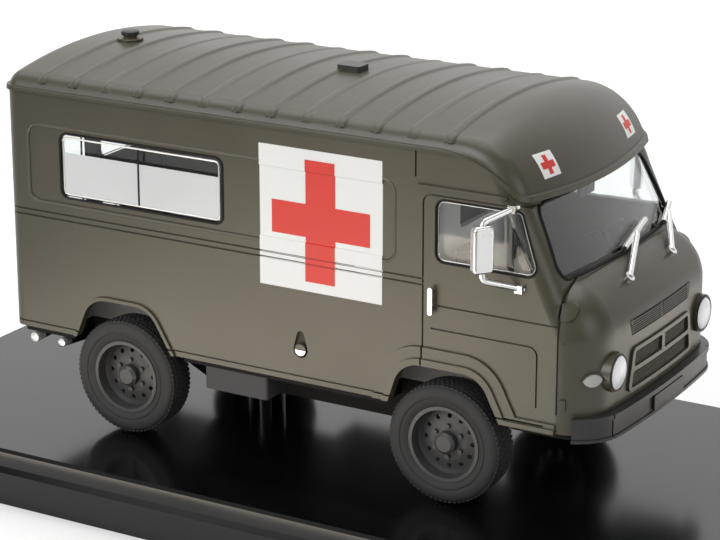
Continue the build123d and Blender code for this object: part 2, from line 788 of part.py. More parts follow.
# Bumper: a crowned channel round the nose, with a shallow band between its lips
def bumper_block(inset, low, high):
    """A slice of the bumper's outline, inset all round."""
    with BuildPart() as block:
        extrude(crowned_sketch(Plane.XY.offset(low), 0, bumper_x - inset, body_half_width + 1.2 - inset,
                               nose_crown_radius, nose_corner_radius + 1.5 - inset),
                amount=high - low)
        split(bisect_by=Plane.YZ.offset(bumper_end_x), keep=Keep.TOP)
    return block.part


with BuildPart() as front_bumper:
    add(bumper_block(0, bumper_low_z, bumper_high_z))
    with BuildPart(mode=Mode.PRIVATE) as band:
        add(bumper_block(-1, bumper_low_z + 0.5, bumper_high_z - 0.8))
        add(bumper_block(bumper_band, bumper_low_z + 0.5, bumper_high_z - 0.8), mode=Mode.SUBTRACT)
    add(band.part, mode=Mode.SUBTRACT)
    with BuildPart(mode=Mode.PRIVATE) as seams:
        with Locations(*[(bumper_x, side * seam_y, bumper_low_z) for side in (-1, 1)]):
            Box(6, line_width, 20)
        add(bumper_block(2 * bumper_band, bumper_low_z, bumper_high_z), mode=Mode.SUBTRACT)
    add(seams.part, mode=Mode.SUBTRACT)
    extrude(nose_sketch(bumper_low_z, 0, -bumper_gap), amount=10, mode=Mode.SUBTRACT)

with BuildPart() as upper_grille:
    add(front_room(louvre_corners, 0.4, -insert_play))
    add(hull, mode=Mode.INTERSECT)
    add(hull_insert, mode=Mode.SUBTRACT)
    with BuildPart(mode=Mode.PRIVATE) as louvres:
        pitch = (louvre_corners[2][1] - louvre_corners[1][1]) / (louvre_count + 0.5)
        with BuildSketch(nose_front):
            with Locations(*[(side * 5.4, louvre_corners[1][1] + (row + 0.75) * pitch)
                             for row in range(louvre_count) for side in (-1, 1)]):
                Rectangle(9.9, louvre_gap)
        extrude(amount=nose_turn_radius + 5)
        add(hull_slot, mode=Mode.SUBTRACT)
    add(louvres.part, mode=Mode.SUBTRACT)

with BuildPart() as radiator_panel:
    add(front_room(radiator_corners, 1.2, -insert_play))
    add(hull_raised, mode=Mode.INTERSECT)
    add(hull_insert, mode=Mode.SUBTRACT)
    with BuildPart(mode=Mode.PRIVATE) as recesses:
        for corners in radiator_recesses:
            add(front_room(corners, 0.5))
        add(hull_slot, mode=Mode.SUBTRACT)
    add(recesses.part, mode=Mode.SUBTRACT)

with BuildPart() as indicator_lenses:
    for side in (-1, 1):
        add(indicator_room(side, 0))
    add(hull_raised, mode=Mode.INTERSECT)
    add(hull_insert, mode=Mode.SUBTRACT)

with BuildPart() as indicator_rims:
    for side in (-1, 1):
        add(indicator_room(side, indicator_rim))
    for side in (-1, 1):
        add(indicator_room(side, insert_play), mode=Mode.SUBTRACT)
    add(hull_raised, mode=Mode.INTERSECT)
    add(hull, mode=Mode.SUBTRACT)

# The cab's mirror hangs from the inside of the turned-down roof
hang_z = roof_axis_z + sqrt((roof_turn_radius - wall) ** 2 - (cab_mirror_x - roof_axis_x) ** 2)
with BuildPart() as cab_mirror:
    with Locations((cab_mirror_x - 0.2, 0, cab_mirror_z)):
        Box(0.7, 5.0, 1.5)
    fillet(cab_mirror.edges().filter_by(Axis.X), 0.3)
    with BuildSketch(Plane((cab_mirror_x, 0, cab_mirror_z))):
        Circle(0.3)
    extrude(amount=hang_z - cab_mirror_z)
    add(roof_shell.part, mode=Mode.SUBTRACT)

with BuildPart() as front_plate:
    with BuildSketch(Plane.YZ.offset(bumper_x - bumper_band)):
        with Locations((0, deck_z + 16.9)):
            RectangleRounded(plate_width, plate_height, 0.3)
    extrude(amount=0.4)

with BuildPart() as lamp_rims:
    for side in (-1, 1):
        with BuildSketch(Plane((lamp_x - 1.2, side * lamp_y, lamp_z), z_dir=(1, 0, 0))):
            Circle(lamp_radius + lamp_rim)
            Circle(lamp_radius + pane_play, mode=Mode.SUBTRACT)
        extrude(amount=1.1)

with BuildPart() as lamp_lenses:
    for side in (-1, 1):
        with BuildSketch(Plane((lamp_x - 1.2, side * lamp_y, lamp_z), z_dir=(1, 0, 0))):
            Circle(lamp_radius)
        extrude(amount=1.5)
    fillet(lamp_lenses.faces().filter_by(Axis.X).group_by(Axis.X)[-1].edges(), 0.5)

# Mirrors: a bent stay with a foot at each end, and a cushion-edged head turned to the rear
stay_points = [(39.6, -22.0, deck_z + 50.9), (36.3, -27.4, deck_z + 49.2),
               (36.5, -27.4, deck_z + 40.0), (42.6, -21.5, deck_z + 37.7)]
stay_feet = []
for inner, outer, foot_y in ((stay_points[0], stay_points[1], -22.7),
                             (stay_points[3], stay_points[2], -body_half_width)):
    share = (foot_y - inner[1]) / (outer[1] - inner[1])
    stay_feet.append(tuple(inside + share * (outside - inside) for inside, outside in zip(inner, outer)))
head_normal = (0.8, -0.6, 0)
with BuildPart() as mirror_right:
    with BuildLine() as stay:
        FilletPolyline(*stay_points, radius=stay_bend)
    with BuildSketch(Plane(stay.line @ 0, z_dir=stay.line % 0)):
        Circle(stay_radius)
    sweep()
    with Locations(*stay_feet):
        Box(1.3, 1.6, 1.2)
    add(hull, mode=Mode.SUBTRACT)
    with BuildPart(mode=Mode.PRIVATE) as head:
        face = Plane((36.5, -27.5, deck_z + 45.0), x_dir=(0.6, 0.8, 0), z_dir=head_normal)
        with BuildSketch(face.offset(-0.7)):
            RectangleRounded(mirror_width, mirror_height, 0.8)
        extrude(amount=1.5)
        fillet(head.faces().sort_by(Axis((0, 0, 0), head_normal))[-1].edges(), 0.5)
    add(head.part)
mirror_left = mirrored(mirror_right)


def on_glass(y, z, lift):
    """A point over the windscreen, lifted forward from it."""
    x = screen_foot_x + screen_rake * (screen_foot_z - z) - y * y / (2 * cab_crown_radius)
    return (x + lift, y, z)


def wiper(pivot_y, start, end):
    """A pivot on the nose, a blade from start to end on the glass, as (y, z), and the arm between."""
    turn = radians(wiper_turn)
    outward = (cos(turn), 0, sin(turn))
    pivot = (nose_axis_x + nose_turn_radius * outward[0], pivot_y,
             nose_axis_z + nose_turn_radius * outward[2])
    knee = (pivot[0] + 0.5 * outward[0], pivot_y, pivot[2] + 0.5 * outward[2])
    meeting = on_glass((start[0] + end[0]) / 2, (start[1] + end[1]) / 2, 1.0)
    with BuildPart() as piece:
        with BuildSketch(Plane(pivot, z_dir=outward).offset(-0.2)):
            Circle(0.85)
        extrude(amount=1.0)
        for begin, finish, radius in ((knee, meeting, arm_radius),
                                      (on_glass(*start, 0.75), on_glass(*end, 0.75), blade_radius)):
            with BuildLine() as rod:
                Line(begin, finish)
            with BuildSketch(Plane(rod.line @ 0, z_dir=rod.line % 0)):
                Circle(radius)
            sweep()
        add(hull, mode=Mode.SUBTRACT)
    return piece


wiper_right = wiper(-7.3, (-1.6, deck_z + 40.1), (8.8, deck_z + 42.1))
wiper_left = wiper(9.0, (15.4, deck_z + 40.0), (20.8, deck_z + 41.8))

with BuildPart() as door_handles:
    for side in (-1, 1):
        door_face = Plane((25.7, side * body_half_width, deck_z + 34.0), x_dir=(1, 0, 0), z_dir=(0, side, 0))
        with BuildSketch(door_face.offset(0.7)):
            SlotOverall(4.5, 0.8, rotation=90)
        extrude(amount=0.4)
        with BuildSketch(door_face):
            with Locations((0, -1.5), (0, 1.5)):
                Circle(0.3)
        extrude(amount=0.7)

with BuildPart() as fuel_cap:
    with BuildSketch(Plane((filler_x, slot_depth - body_half_width, filler_z), z_dir=(0, -1, 0))):
        Circle(filler_radius - 0.3)
    extrude(amount=slot_depth + 0.1)

with BuildPart() as rear_handle:
    with Locations((rear_x - 0.3, -1.6, deck_z + 33)):
        Box(0.6, 0.8, 4.5)

with BuildPart() as tail_lamps:
    for side in (-1, 1):
        for z in (24.0, 26.8):
            with BuildSketch(Plane((rear_x, side * 19.4, deck_z + z), z_dir=(-1, 0, 0))):
                Circle(1.2)
            extrude(amount=0.6)

with BuildPart() as rear_sill:
    with Locations((rear_x - 0.3, 0, sill_z + 0.5)):
        Box(0.6, 41, 1.0)

# Wheels: section points as (radius, outboard)
tyre_section = [(rim_radius, -2.4), (7.4, -2.9), (9.0, -3.0), (9.6, -2.7), (tyre_radius, -2.1),
                (tyre_radius, 2.1), (9.6, 2.7), (9.0, 3.0), (7.6, 2.95), (7.4, 2.75), (7.0, 2.75),
                (rim_radius, 2.4)]
rim_section = [(0, 2.5), (1.3, 2.5), (1.8, 2.1), (1.8, 0.9), (3.2, 0.7), (5.0, 0.2), (5.5, 0.8),
               (5.7, 2.6), (rim_radius, 2.6), (rim_radius, -2.4), (5.7, -2.4), (5.4, -0.6),
               (1.7, -0.4), (1.7, -3.6), (0, -3.6)]


def turned(axle_x, section):
    """A right-hand wheel piece turned from its section."""
    with BuildPart() as piece:
        with BuildSketch(Plane((axle_x, -wheel_y, axle_z), x_dir=(0, 0, 1), z_dir=(1, 0, 0))):
            Polygon(*section, align=None)
        revolve(axis=Axis((axle_x, 0, axle_z), (0, 1, 0)))
    return piece


def rim(axle_x):
    """A dished rim with its ring of holes, hub and nuts, bored for the pin."""
    face = Plane((axle_x, -wheel_y, axle_z), x_dir=(0, 0, 1), z_dir=(0, -1, 0))
    with BuildPart() as piece:
        add(turned(axle_x, rim_section).part)
        with BuildSketch(face.offset(-1)):
            with PolarLocations(4.2, dish_hole_count):
                Circle(0.4)
        extrude(amount=3, mode=Mode.SUBTRACT)
        with BuildSketch(face.offset(0.6)):
            with PolarLocations(2.6, nut_count):
                RegularPolygon(0.42, 6)
        extrude(amount=0.7)
        with BuildSketch(face.offset(-3.6)):
            Circle(pin_radius + 0.01)
        extrude(amount=5.0, mode=Mode.SUBTRACT)
    return piece


def axle_pin(axle_x):
    """The steel pin that carries one axle's two wheels."""
    with BuildPart() as piece:
        with BuildSketch(Plane((axle_x, -wheel_y - 1.3, axle_z), z_dir=(0, 1, 0))):
            Circle(pin_radius)
        extrude(amount=2 * wheel_y + 2.6)
    return piece


pieces = {
    "plinth": plinth, "plinth_screws": plinth_screws, "chassis_base": chassis_base,
    "front_axle_casing": front_axle_casing, "rear_axle_casing": rear_axle_casing,
    "leaf_springs": leaf_springs, "drive_line": drive_line, "exhaust": exhaust,
    "tail_crossbar": tail_crossbar, "sill_boxes": sill_boxes, "body_shell": body_shell,
    "roof_shell": roof_shell, "roof_vent": roof_vent, "roof_cowl": roof_cowl,
    "windscreen_glass": windscreen_glass, "cab_glass_right": cab_glass_right,
    "cab_glass_left": cab_glass_left, "load_glass_right": load_glass_right,
    "load_glass_left": load_glass_left, "rear_glass": rear_glass, "interior_tub": interior_tub,
    "cab_seats": cab_seats, "dashboard": dashboard, "steering_wheel": steering_wheel,
    "bulkhead": bulkhead, "litters": litters, "cab_mirror": cab_mirror,
    "upper_grille": upper_grille, "radiator_panel": radiator_panel,
    "indicator_lenses": indicator_lenses, "indicator_rims": indicator_rims,
    "front_bumper": front_bumper, "front_plate": front_plate, "lamp_rims": lamp_rims,
    "lamp_lenses": lamp_lenses, "mirror_right": mirror_right, "mirror_left": mirror_left,
    "wiper_right": wiper_right, "wiper_left": wiper_left, "door_handles": door_handles,
    "fuel_cap": fuel_cap, "rear_handle": rear_handle, "tail_lamps": tail_lamps,
    "rear_sill": rear_sill,
}
for end, axle_x in (("front", front_axle_x), ("rear", rear_axle_x)):
    pieces[end + "_axle_pin"] = axle_pin(axle_x)
    for name, right in (("tyre", turned(axle_x, tyre_section)), ("rim", rim(axle_x))):
        pieces[f"{end}_{name}_right"] = right
        pieces[f"{end}_{name}_left"] = mirrored(right)

os.makedirs("parts", exist_ok=True)
for name, piece in pieces.items():
    piece.part.label = name
    export_step(piece.part, f"parts/{name}.step")
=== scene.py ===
import math
import bpy
import bmesh
from mathutils import Matrix, Vector
from mathutils.bvhtree import BVHTree


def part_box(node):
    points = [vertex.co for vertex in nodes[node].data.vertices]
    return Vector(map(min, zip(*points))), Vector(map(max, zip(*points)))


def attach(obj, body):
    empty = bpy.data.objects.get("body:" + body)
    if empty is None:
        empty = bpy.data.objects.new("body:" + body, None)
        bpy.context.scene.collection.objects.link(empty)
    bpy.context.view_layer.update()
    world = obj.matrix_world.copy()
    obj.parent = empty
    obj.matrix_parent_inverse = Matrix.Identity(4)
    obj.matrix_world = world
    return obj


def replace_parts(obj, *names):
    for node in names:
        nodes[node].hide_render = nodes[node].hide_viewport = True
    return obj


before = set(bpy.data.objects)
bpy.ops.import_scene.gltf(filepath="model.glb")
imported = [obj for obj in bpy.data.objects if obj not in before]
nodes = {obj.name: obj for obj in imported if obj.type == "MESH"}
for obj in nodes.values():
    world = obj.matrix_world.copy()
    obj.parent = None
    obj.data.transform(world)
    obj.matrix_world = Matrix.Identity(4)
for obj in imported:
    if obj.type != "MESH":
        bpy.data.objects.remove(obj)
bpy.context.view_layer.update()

mm = 0.001
deck = 10.0  # plinth top, in mm above the frame's origin
truck, frontSet, rearSet = "truck_on_plinth", "front_wheelset", "rear_wheelset"
bpy.context.scene.view_settings.view_transform = "Standard"
print("frame loaded:", len(nodes), "nodes")


# helpers for node trees
def setInputs(tree, node, values):
    for label, value in values.items():
        if hasattr(value, "is_output"):
            tree.links.new(value, node.inputs[label])
        else:
            node.inputs[label].default_value = value


def addNode(tree, kind, values=None, **settings):
    # a node with its settings first, then each named input linked or set
    node = tree.nodes.new(kind)
    for label, value in settings.items():
        setattr(node, label, value)
    setInputs(tree, node, values or {})
    return node


def addMath(tree, operation, *values):
    return addNode(tree, "ShaderNodeMath", dict(enumerate(values)), operation=operation).outputs[0]


def addRange(tree, value, source, target=(0.0, 1.0)):
    values = {"Value": value, "From Min": source[0], "From Max": source[1],
              "To Min": target[0], "To Max": target[1]}
    return addNode(tree, "ShaderNodeMapRange", values).outputs[0]


def addBlend(tree, share, first, second):
    values = {"Factor": share, "A": first, "B": second}
    return addNode(tree, "ShaderNodeMix", values, data_type="RGBA").outputs["Result"]


def addVector(tree, parts):
    return addNode(tree, "ShaderNodeCombineXYZ", parts).outputs[0]


# shader groups shared by several finishes: spans of the noise, bump depth, index of clear mouldings
grainSpec = dict(cloudSpan=(0.3, 0.7), speckSpan=(0.48, 0.72), bumpDepth=0.1 * mm, clearIndex=1.46)


def newGroup(name, inputs, outputs):
    group = bpy.data.node_groups.new(name, "ShaderNodeTree")
    for label, value in inputs.items():
        socket = group.interface.new_socket(label, in_out="INPUT", socket_type="NodeSocketFloat")
        socket.default_value = value
    for label in outputs:
        group.interface.new_socket(label, in_out="OUTPUT", socket_type="NodeSocketFloat")
    return group, group.nodes.new("NodeGroupInput").outputs, group.nodes.new("NodeGroupOutput").inputs


def buildPaintGrain():
    # broad cloudiness for colour and a fine orange peel for the bump
    scales = {"Cloud Scale": 60.0, "Peel Scale": 2500.0}
    group, given, outs = newGroup("paintGrain", scales, ("Cloud", "Peel"))
    place = addNode(group, "ShaderNodeTexCoord").outputs["Object"]
    for label, detail in (("Cloud", 4.0), ("Peel", 2.0)):
        values = {"Vector": place, "Scale": given[label + " Scale"], "Detail": detail}
        noise = addNode(group, "ShaderNodeTexNoise", values)
        group.links.new(noise.outputs["Fac"], outs[label])
    return group


def buildDust():
    # fine specks that settle on what faces up
    group, given, outs = newGroup("settledDust", {"Speck Scale": 900.0, "Cover": 0.3}, ("Mask",))
    place = addNode(group, "ShaderNodeTexCoord").outputs["Object"]
    normal = addNode(group, "ShaderNodeNewGeometry").outputs["Normal"]
    upward = addMath(group, "MAXIMUM", addNode(group, "ShaderNodeSeparateXYZ", {0: normal}).outputs["Z"], 0.0)
    values = {"Vector": place, "Scale": given["Speck Scale"], "Detail": 6.0, "Roughness": 0.75}
    noise = addNode(group, "ShaderNodeTexNoise", values).outputs["Fac"]
    spread = addMath(group, "MULTIPLY", addRange(group, noise, grainSpec["speckSpan"]), upward)
    group.links.new(addMath(group, "MULTIPLY", spread, given["Cover"]), outs["Mask"])
    return group


paintGrain = buildPaintGrain()
settledDust = buildDust()
print("shader groups built")


# finishes: colours are linear, roughness runs from low to high over the cloud; peel is 2600, specular 0.5
# and metallic 0 unless given
finishes = {
    "olivePaint": dict(dark=(0.047, 0.041, 0.0245), light=(0.057, 0.050, 0.031), rough=(0.32, 0.40), cloud=45,
        bump=0.06, dust=0.08, dustTint=(0.20, 0.19, 0.15)),
    "glossPlinth": dict(dark=(0.0012, 0.0012, 0.0014), light=(0.0024, 0.0024, 0.0027), rough=(0.12, 0.20),
        cloud=30, peel=1500, bump=0.02, dust=0.035, dustTint=(0.08, 0.08, 0.08)),
    "chassisBlack": dict(dark=(0.008, 0.008, 0.008), light=(0.014, 0.014, 0.014), rough=(0.60, 0.76),
        cloud=80, peel=3000, bump=0.10, dust=0.08, dustTint=(0.10, 0.10, 0.095), specular=0.12),
    "trimBlack": dict(dark=(0.016, 0.016, 0.017), light=(0.024, 0.024, 0.025), rough=(0.34, 0.46), cloud=90,
        peel=3200, bump=0.06, dust=0.05, dustTint=(0.10, 0.10, 0.10)),
    "sealRubber": dict(dark=(0.004, 0.004, 0.004), light=(0.008, 0.008, 0.008), rough=(0.55, 0.68), cloud=120,
        peel=4000, bump=0.08, specular=0.2),
    "grilleBlack": dict(dark=(0.020, 0.020, 0.019), light=(0.032, 0.031, 0.029), rough=(0.5, 0.62), cloud=120,
        peel=3200, bump=0.06, specular=0.25),
    # painted shade of the belt grooves where they cross the red cross
    "grooveShadeRed": dict(dark=(0.30, 0.035, 0.032), light=(0.36, 0.045, 0.04), rough=(0.5, 0.6), cloud=200,
        peel=3200, bump=0.04, specular=0.2),
    "boxGrey": dict(dark=(0.055, 0.053, 0.055), light=(0.080, 0.077, 0.080), rough=(0.55, 0.68), cloud=120,
        bump=0.05, specular=0.2),
    # painted shade for the floor of the fuel recess
    "recessShadeOlive": dict(dark=(0.036, 0.032, 0.019), light=(0.043, 0.038, 0.023), rough=(0.5, 0.6), cloud=200,
        peel=3200, bump=0.04, specular=0.2),
    # light rods that paint the highlight along the louvres' edges in the upper grille
    "louvreHighlight": dict(dark=(0.22, 0.21, 0.185), light=(0.29, 0.28, 0.25), rough=(0.4, 0.5), cloud=200,
        peel=3200, bump=0.04, specular=0.4),
    "cowlDark": dict(dark=(0.020, 0.021, 0.018), light=(0.032, 0.033, 0.028), rough=(0.30, 0.42), cloud=200,
        bump=0.06, dust=0.10, dustTint=(0.20, 0.20, 0.17)),
    # dark dashes in the belt groove: painted shadow of the groove, and gaps in the white print
    "grooveGapShade": dict(dark=(0.020, 0.020, 0.018), light=(0.040, 0.038, 0.034), rough=(0.5, 0.6), cloud=400,
        bump=0.04, specular=0.3),
    # painted shade of the belt grooves on the white field
    "grooveShadeGrey": dict(dark=(0.20, 0.20, 0.19), light=(0.34, 0.34, 0.33), rough=(0.5, 0.6), cloud=400,
        bump=0.04, specular=0.3),
    "tyreRubber": dict(dark=(0.026, 0.026, 0.027), light=(0.040, 0.039, 0.039), rough=(0.66, 0.82), cloud=140,
        bump=0.16, dust=0.16, dustTint=(0.09, 0.088, 0.082), specular=0.3),
    "rimBlack": dict(dark=(0.034, 0.034, 0.0345), light=(0.050, 0.050, 0.0505), rough=(0.38, 0.52), cloud=120,
        peel=3000, bump=0.08, dust=0.06, dustTint=(0.10, 0.10, 0.10), specular=0.45),
    "cabinGrey": dict(dark=(0.36, 0.345, 0.325), light=(0.43, 0.41, 0.385), rough=(0.55, 0.7), cloud=60,
        bump=0.10, specular=0.35),
    "partitionGrey": dict(dark=(0.66, 0.645, 0.625), light=(0.76, 0.74, 0.715), rough=(0.5, 0.64), cloud=50,
        bump=0.08, specular=0.35),
    "cabinDark": dict(dark=(0.012, 0.012, 0.013), light=(0.022, 0.022, 0.023), rough=(0.5, 0.66), cloud=60,
        bump=0.12, specular=0.35),
    "brightPlate": dict(dark=(0.62, 0.62, 0.61), light=(0.74, 0.74, 0.73), rough=(0.16, 0.30), cloud=200,
        peel=2400, bump=0.04, metallic=1.0),
    "pinSteel": dict(dark=(0.38, 0.38, 0.38), light=(0.50, 0.50, 0.50), rough=(0.28, 0.42), cloud=300,
        peel=3000, bump=0.05, metallic=1.0),
    "signWhite": dict(dark=(0.74, 0.74, 0.72), light=(0.80, 0.80, 0.78), rough=(0.38, 0.5), cloud=90,
        bump=0.04, specular=0.45),
    "signRed": dict(dark=(0.56, 0.022, 0.014), light=(0.66, 0.030, 0.020), rough=(0.36, 0.48), cloud=90,
        bump=0.04, specular=0.45),
    "frostWhite": dict(dark=(0.60, 0.605, 0.60), light=(0.67, 0.675, 0.67), rough=(0.18, 0.30), cloud=40,
        peel=1800, bump=0.02),
    "lampRed": dict(dark=(0.30, 0.010, 0.008), light=(0.42, 0.016, 0.012), rough=(0.10, 0.18), cloud=200,
        peel=1400, bump=0.10),
    # light trim that paints the highlight along the window panes' edges
    "frameHighlight": dict(dark=(0.46, 0.46, 0.45), light=(0.56, 0.56, 0.55), rough=(0.30, 0.42), cloud=200,
        bump=0.04, metallic=0.6),
    "sleeveBright": dict(dark=(0.66, 0.66, 0.66), light=(0.78, 0.78, 0.78), rough=(0.26, 0.40), cloud=200,
        bump=0.05, metallic=0.4),
    "silverGlass": dict(dark=(0.80, 0.81, 0.82), light=(0.86, 0.87, 0.88), rough=(0.03, 0.06), cloud=120,
        peel=900, bump=0.01, metallic=1.0),
    "lampBowl": dict(dark=(0.78, 0.78, 0.79), light=(0.88, 0.88, 0.89), rough=(0.22, 0.34), cloud=300,
        peel=2000, bump=0.03, metallic=0.15),
    "bulbGlass": dict(dark=(0.74, 0.74, 0.70), light=(0.84, 0.84, 0.80), rough=(0.10, 0.18), cloud=300,
        peel=2000, bump=0.03),
    "screenOlive": dict(dark=(0.066, 0.060, 0.042), light=(0.086, 0.079, 0.056), rough=(0.5, 0.62), cloud=120,
        bump=0.06, specular=0.4),
}


def newMaterial(name, peel, bump):
    # a material whose fine grain drives the bump
    material = bpy.data.materials.new(name)
    material.use_nodes = True
    tree = material.node_tree
    grain = addNode(tree, "ShaderNodeGroup", {"Peel Scale": peel}, node_tree=paintGrain)
    values = {"Height": grain.outputs["Peel"], "Strength": bump, "Distance": grainSpec["bumpDepth"]}
    shader = tree.nodes["Principled BSDF"]
    setInputs(tree, shader, {"Normal": addNode(tree, "ShaderNodeBump", values).outputs[0]})
    return material, tree, shader, grain


def buildFinish(name):
    spec = finishes[name]
    material, tree, shader, grain = newMaterial(name, spec.get("peel", 2600), spec["bump"])
    grain.inputs["Cloud Scale"].default_value = spec["cloud"]
    cloud = grain.outputs["Cloud"]
    colour = addBlend(tree, cloud, (*spec["dark"], 1), (*spec["light"], 1))
    if "dust" in spec:
        dust = addNode(tree, "ShaderNodeGroup", {"Cover": spec["dust"]}, node_tree=settledDust)
        colour = addBlend(tree, dust.outputs["Mask"], colour, (*spec["dustTint"], 1))
    rough = addRange(tree, cloud, grainSpec["cloudSpan"], spec["rough"])
    setInputs(tree, shader, {"Base Color": colour, "Roughness": rough, "Metallic": spec.get("metallic", 0.0),
                             "Specular IOR Level": spec.get("specular", 0.5)})
    return material


def buildClear(name, tint, rough, peel, bump, clear=1.0):
    # clear moulding with a faint flow ripple
    material, tree, shader, _ = newMaterial(name, peel, bump)
    setInputs(tree, shader, {"Base Color": (*tint, 1), "Roughness": rough, "Transmission Weight": clear,
                             "IOR": grainSpec["clearIndex"]})
    return material


finish = {name: buildFinish(name) for name in finishes}
finish["clearGlazing"] = buildClear("clearGlazing", (0.93, 0.95, 0.95), 0.02, 300, 0.02)
finish["flutedLens"] = buildClear("flutedLens", (0.97, 0.97, 0.98), 0.10, 1200, 0.14, 0.06)
finish["milkLens"] = buildClear("milkLens", (0.62, 0.62, 0.60), 0.12, 1500, 0.16, 0.35)
print("finishes built:", len(finish))

# finishes of the CAD nodes; tyres and rims go by their names
nodeLooks = {
    "glossPlinth": ["plinth"],
    "chassisBlack": ["plinth_screws", "chassis_base", "front_axle_casing", "rear_axle_casing",
                     "leaf_springs", "drive_line", "exhaust", "tail_crossbar"],
    "boxGrey": ["sill_boxes"],
    "olivePaint": ["body_shell", "roof_shell", "roof_vent", "rear_sill", "radiator_panel",
                   "indicator_rims"],
    "cowlDark": ["roof_cowl"],
    "clearGlazing": ["windscreen_glass", "cab_glass_right", "cab_glass_left", "load_glass_right",
                     "load_glass_left", "rear_glass"],
    "cabinGrey": ["interior_tub", "litters"],
    "partitionGrey": ["bulkhead"],
    "cabinDark": ["cab_seats", "dashboard", "steering_wheel", "cab_mirror"],
    "grilleBlack": ["upper_grille"],
    # the lamp rims are black as painted shade in the gap round each headlamp lens
    "trimBlack": ["front_bumper", "front_plate", "lamp_rims"],
    "milkLens": ["indicator_lenses"],
    "flutedLens": ["lamp_lenses"],
    "brightPlate": ["mirror_right", "mirror_left", "wiper_right", "wiper_left", "door_handles", "fuel_cap",
                    "rear_handle"],
    "lampRed": ["tail_lamps"],
    "pinSteel": ["front_axle_pin", "rear_axle_pin"],
}
lookOf = {name: look for look, names in nodeLooks.items() for name in names}
for name, node in nodes.items():
    look = lookOf.get(name) or ("tyreRubber" if "_tyre_" in name else "rimBlack")
    node.data.materials.clear()
    node.data.materials.append(finish[look])
    node.visible_shadow = look != "clearGlazing"  # daylight comes in through the panes
print("nodes dressed")

# camera at the photograph's angle
view = dict(azimuth=30.397, elevation=17.708, distance=429.194, target=(-3.676, 4.466, 36.527), lens=125.318)


def placeCamera():
    turn, lift = math.radians(view["azimuth"]), math.radians(view["elevation"])
    back = Vector((math.sin(turn) * math.cos(lift), -math.cos(turn) * math.cos(lift), math.sin(lift)))
    data = bpy.data.cameras.new("photoCamera")
    data.lens = view["lens"]
    data.sensor_width = 36
    data.clip_start = 0.01
    camera = bpy.data.objects.new("photoCamera", data)
    camera.location = (Vector(view["target"]) + back * view["distance"]) * mm
    camera.rotation_euler = back.to_track_quat("Z", "Y").to_euler()
    bpy.context.collection.objects.link(camera)
    bpy.context.scene.camera = camera


placeCamera()


# pale floor and soft studio light
studio = dict(floorSize=4.0, floorColour=(0.86, 0.86, 0.86), floorRough=0.9, glowReach=(0.16, 0.7),
              glow=(0.08, 0.6), dimReach=(-0.22, -0.09), dimFloor=0.04, glossShare=0.12,
              brightAxis=(-0.45, 0.88, 0.15), brightReach=(0.05, 0.75), roomLight=(0.20, 1.15), glossSky=0.35)
lamps = [  # name, place, aim, size, watts, lights matt surfaces too
    ("topSoftbox", (-0.10, 0.10, 0.80), (0, 0, 0.03), 0.8, 4.4, True),
    ("sideSoftbox", (-0.30, -0.80, 0.50), (0, 0, 0.04), 0.6, 6.0, True),
    ("noseFill", (0.80, -0.30, 0.30), (0, 0, 0.04), 0.5, 1.2, True),
    ("sideSheen", (-0.036, -0.11, 0.004), (-0.036, -0.11, 0.1), 0.12, 0.165, False),
    ("noseSheen", (0.14, 0.07, 0.004), (0.14, 0.07, 0.1), 0.12, 0.06, False),
]
sheenTint = (1.0, 0.90, 0.74)


def seenRays(tree, share):
    # 1 for what the camera sees, also through glass; the second value adds a share for reflections
    path = addNode(tree, "ShaderNodeLightPath").outputs
    seen = addMath(tree, "MAXIMUM", path["Is Camera Ray"], path["Is Transmission Ray"])
    return seen, addMath(tree, "MAXIMUM", seen, addMath(tree, "MULTIPLY", path["Is Glossy Ray"], share))


def buildFloor():
    half = studio["floorSize"] / 2
    mesh = bpy.data.meshes.new("floor")
    corners = [(-half, -half, 0), (half, -half, 0), (half, half, 0), (-half, half, 0)]
    mesh.from_pydata(corners, [], [(0, 1, 2, 3)])
    floor = bpy.data.objects.new("floor", mesh)
    bpy.context.collection.objects.link(floor)
    material = bpy.data.materials.new("paleFloor")
    material.use_nodes = True
    tree = material.node_tree
    seen, shown = seenRays(tree, studio["glossShare"])
    place = addNode(tree, "ShaderNodeTexCoord").outputs["Object"]
    # the glow is low near the plinth, so that its shadow stays, and rises to white further out
    away = addNode(tree, "ShaderNodeVectorMath", {0: place}, operation="LENGTH").outputs["Value"]
    glow = addMath(tree, "MULTIPLY", shown, addRange(tree, away, studio["glowReach"], studio["glow"]))
    # for rays that light the object the floor is dimmer towards the dark side of the room
    across = addNode(tree, "ShaderNodeSeparateXYZ", {0: place}).outputs["Y"]
    share = addMath(tree, "MAXIMUM", addRange(tree, across, studio["dimReach"]), seen)
    tint = addBlend(tree, share, (*[studio["dimFloor"]] * 3, 1), (*studio["floorColour"], 1))
    values = {"Base Color": tint, "Roughness": studio["floorRough"], "Emission Color": (1, 1, 1, 1),
              "Emission Strength": glow}
    setInputs(tree, tree.nodes["Principled BSDF"], values)
    mesh.materials.append(material)


def buildWorld():
    world = bpy.data.worlds.new("studio")
    world.use_nodes = True
    bpy.context.scene.world = world
    tree = world.node_tree
    shown = seenRays(tree, studio["glossSky"])[1]
    way = addNode(tree, "ShaderNodeTexCoord").outputs["Generated"]
    axis = Vector(studio["brightAxis"]).normalized()
    facing = addNode(tree, "ShaderNodeVectorMath", {0: way, 1: axis}, operation="DOT_PRODUCT")
    room = addRange(tree, facing.outputs["Value"], studio["brightReach"], studio["roomLight"])
    strength = addMath(tree, "MAXIMUM", room, shown)
    setInputs(tree, tree.nodes["Background"], {"Color": (1, 1, 1, 1), "Strength": strength})


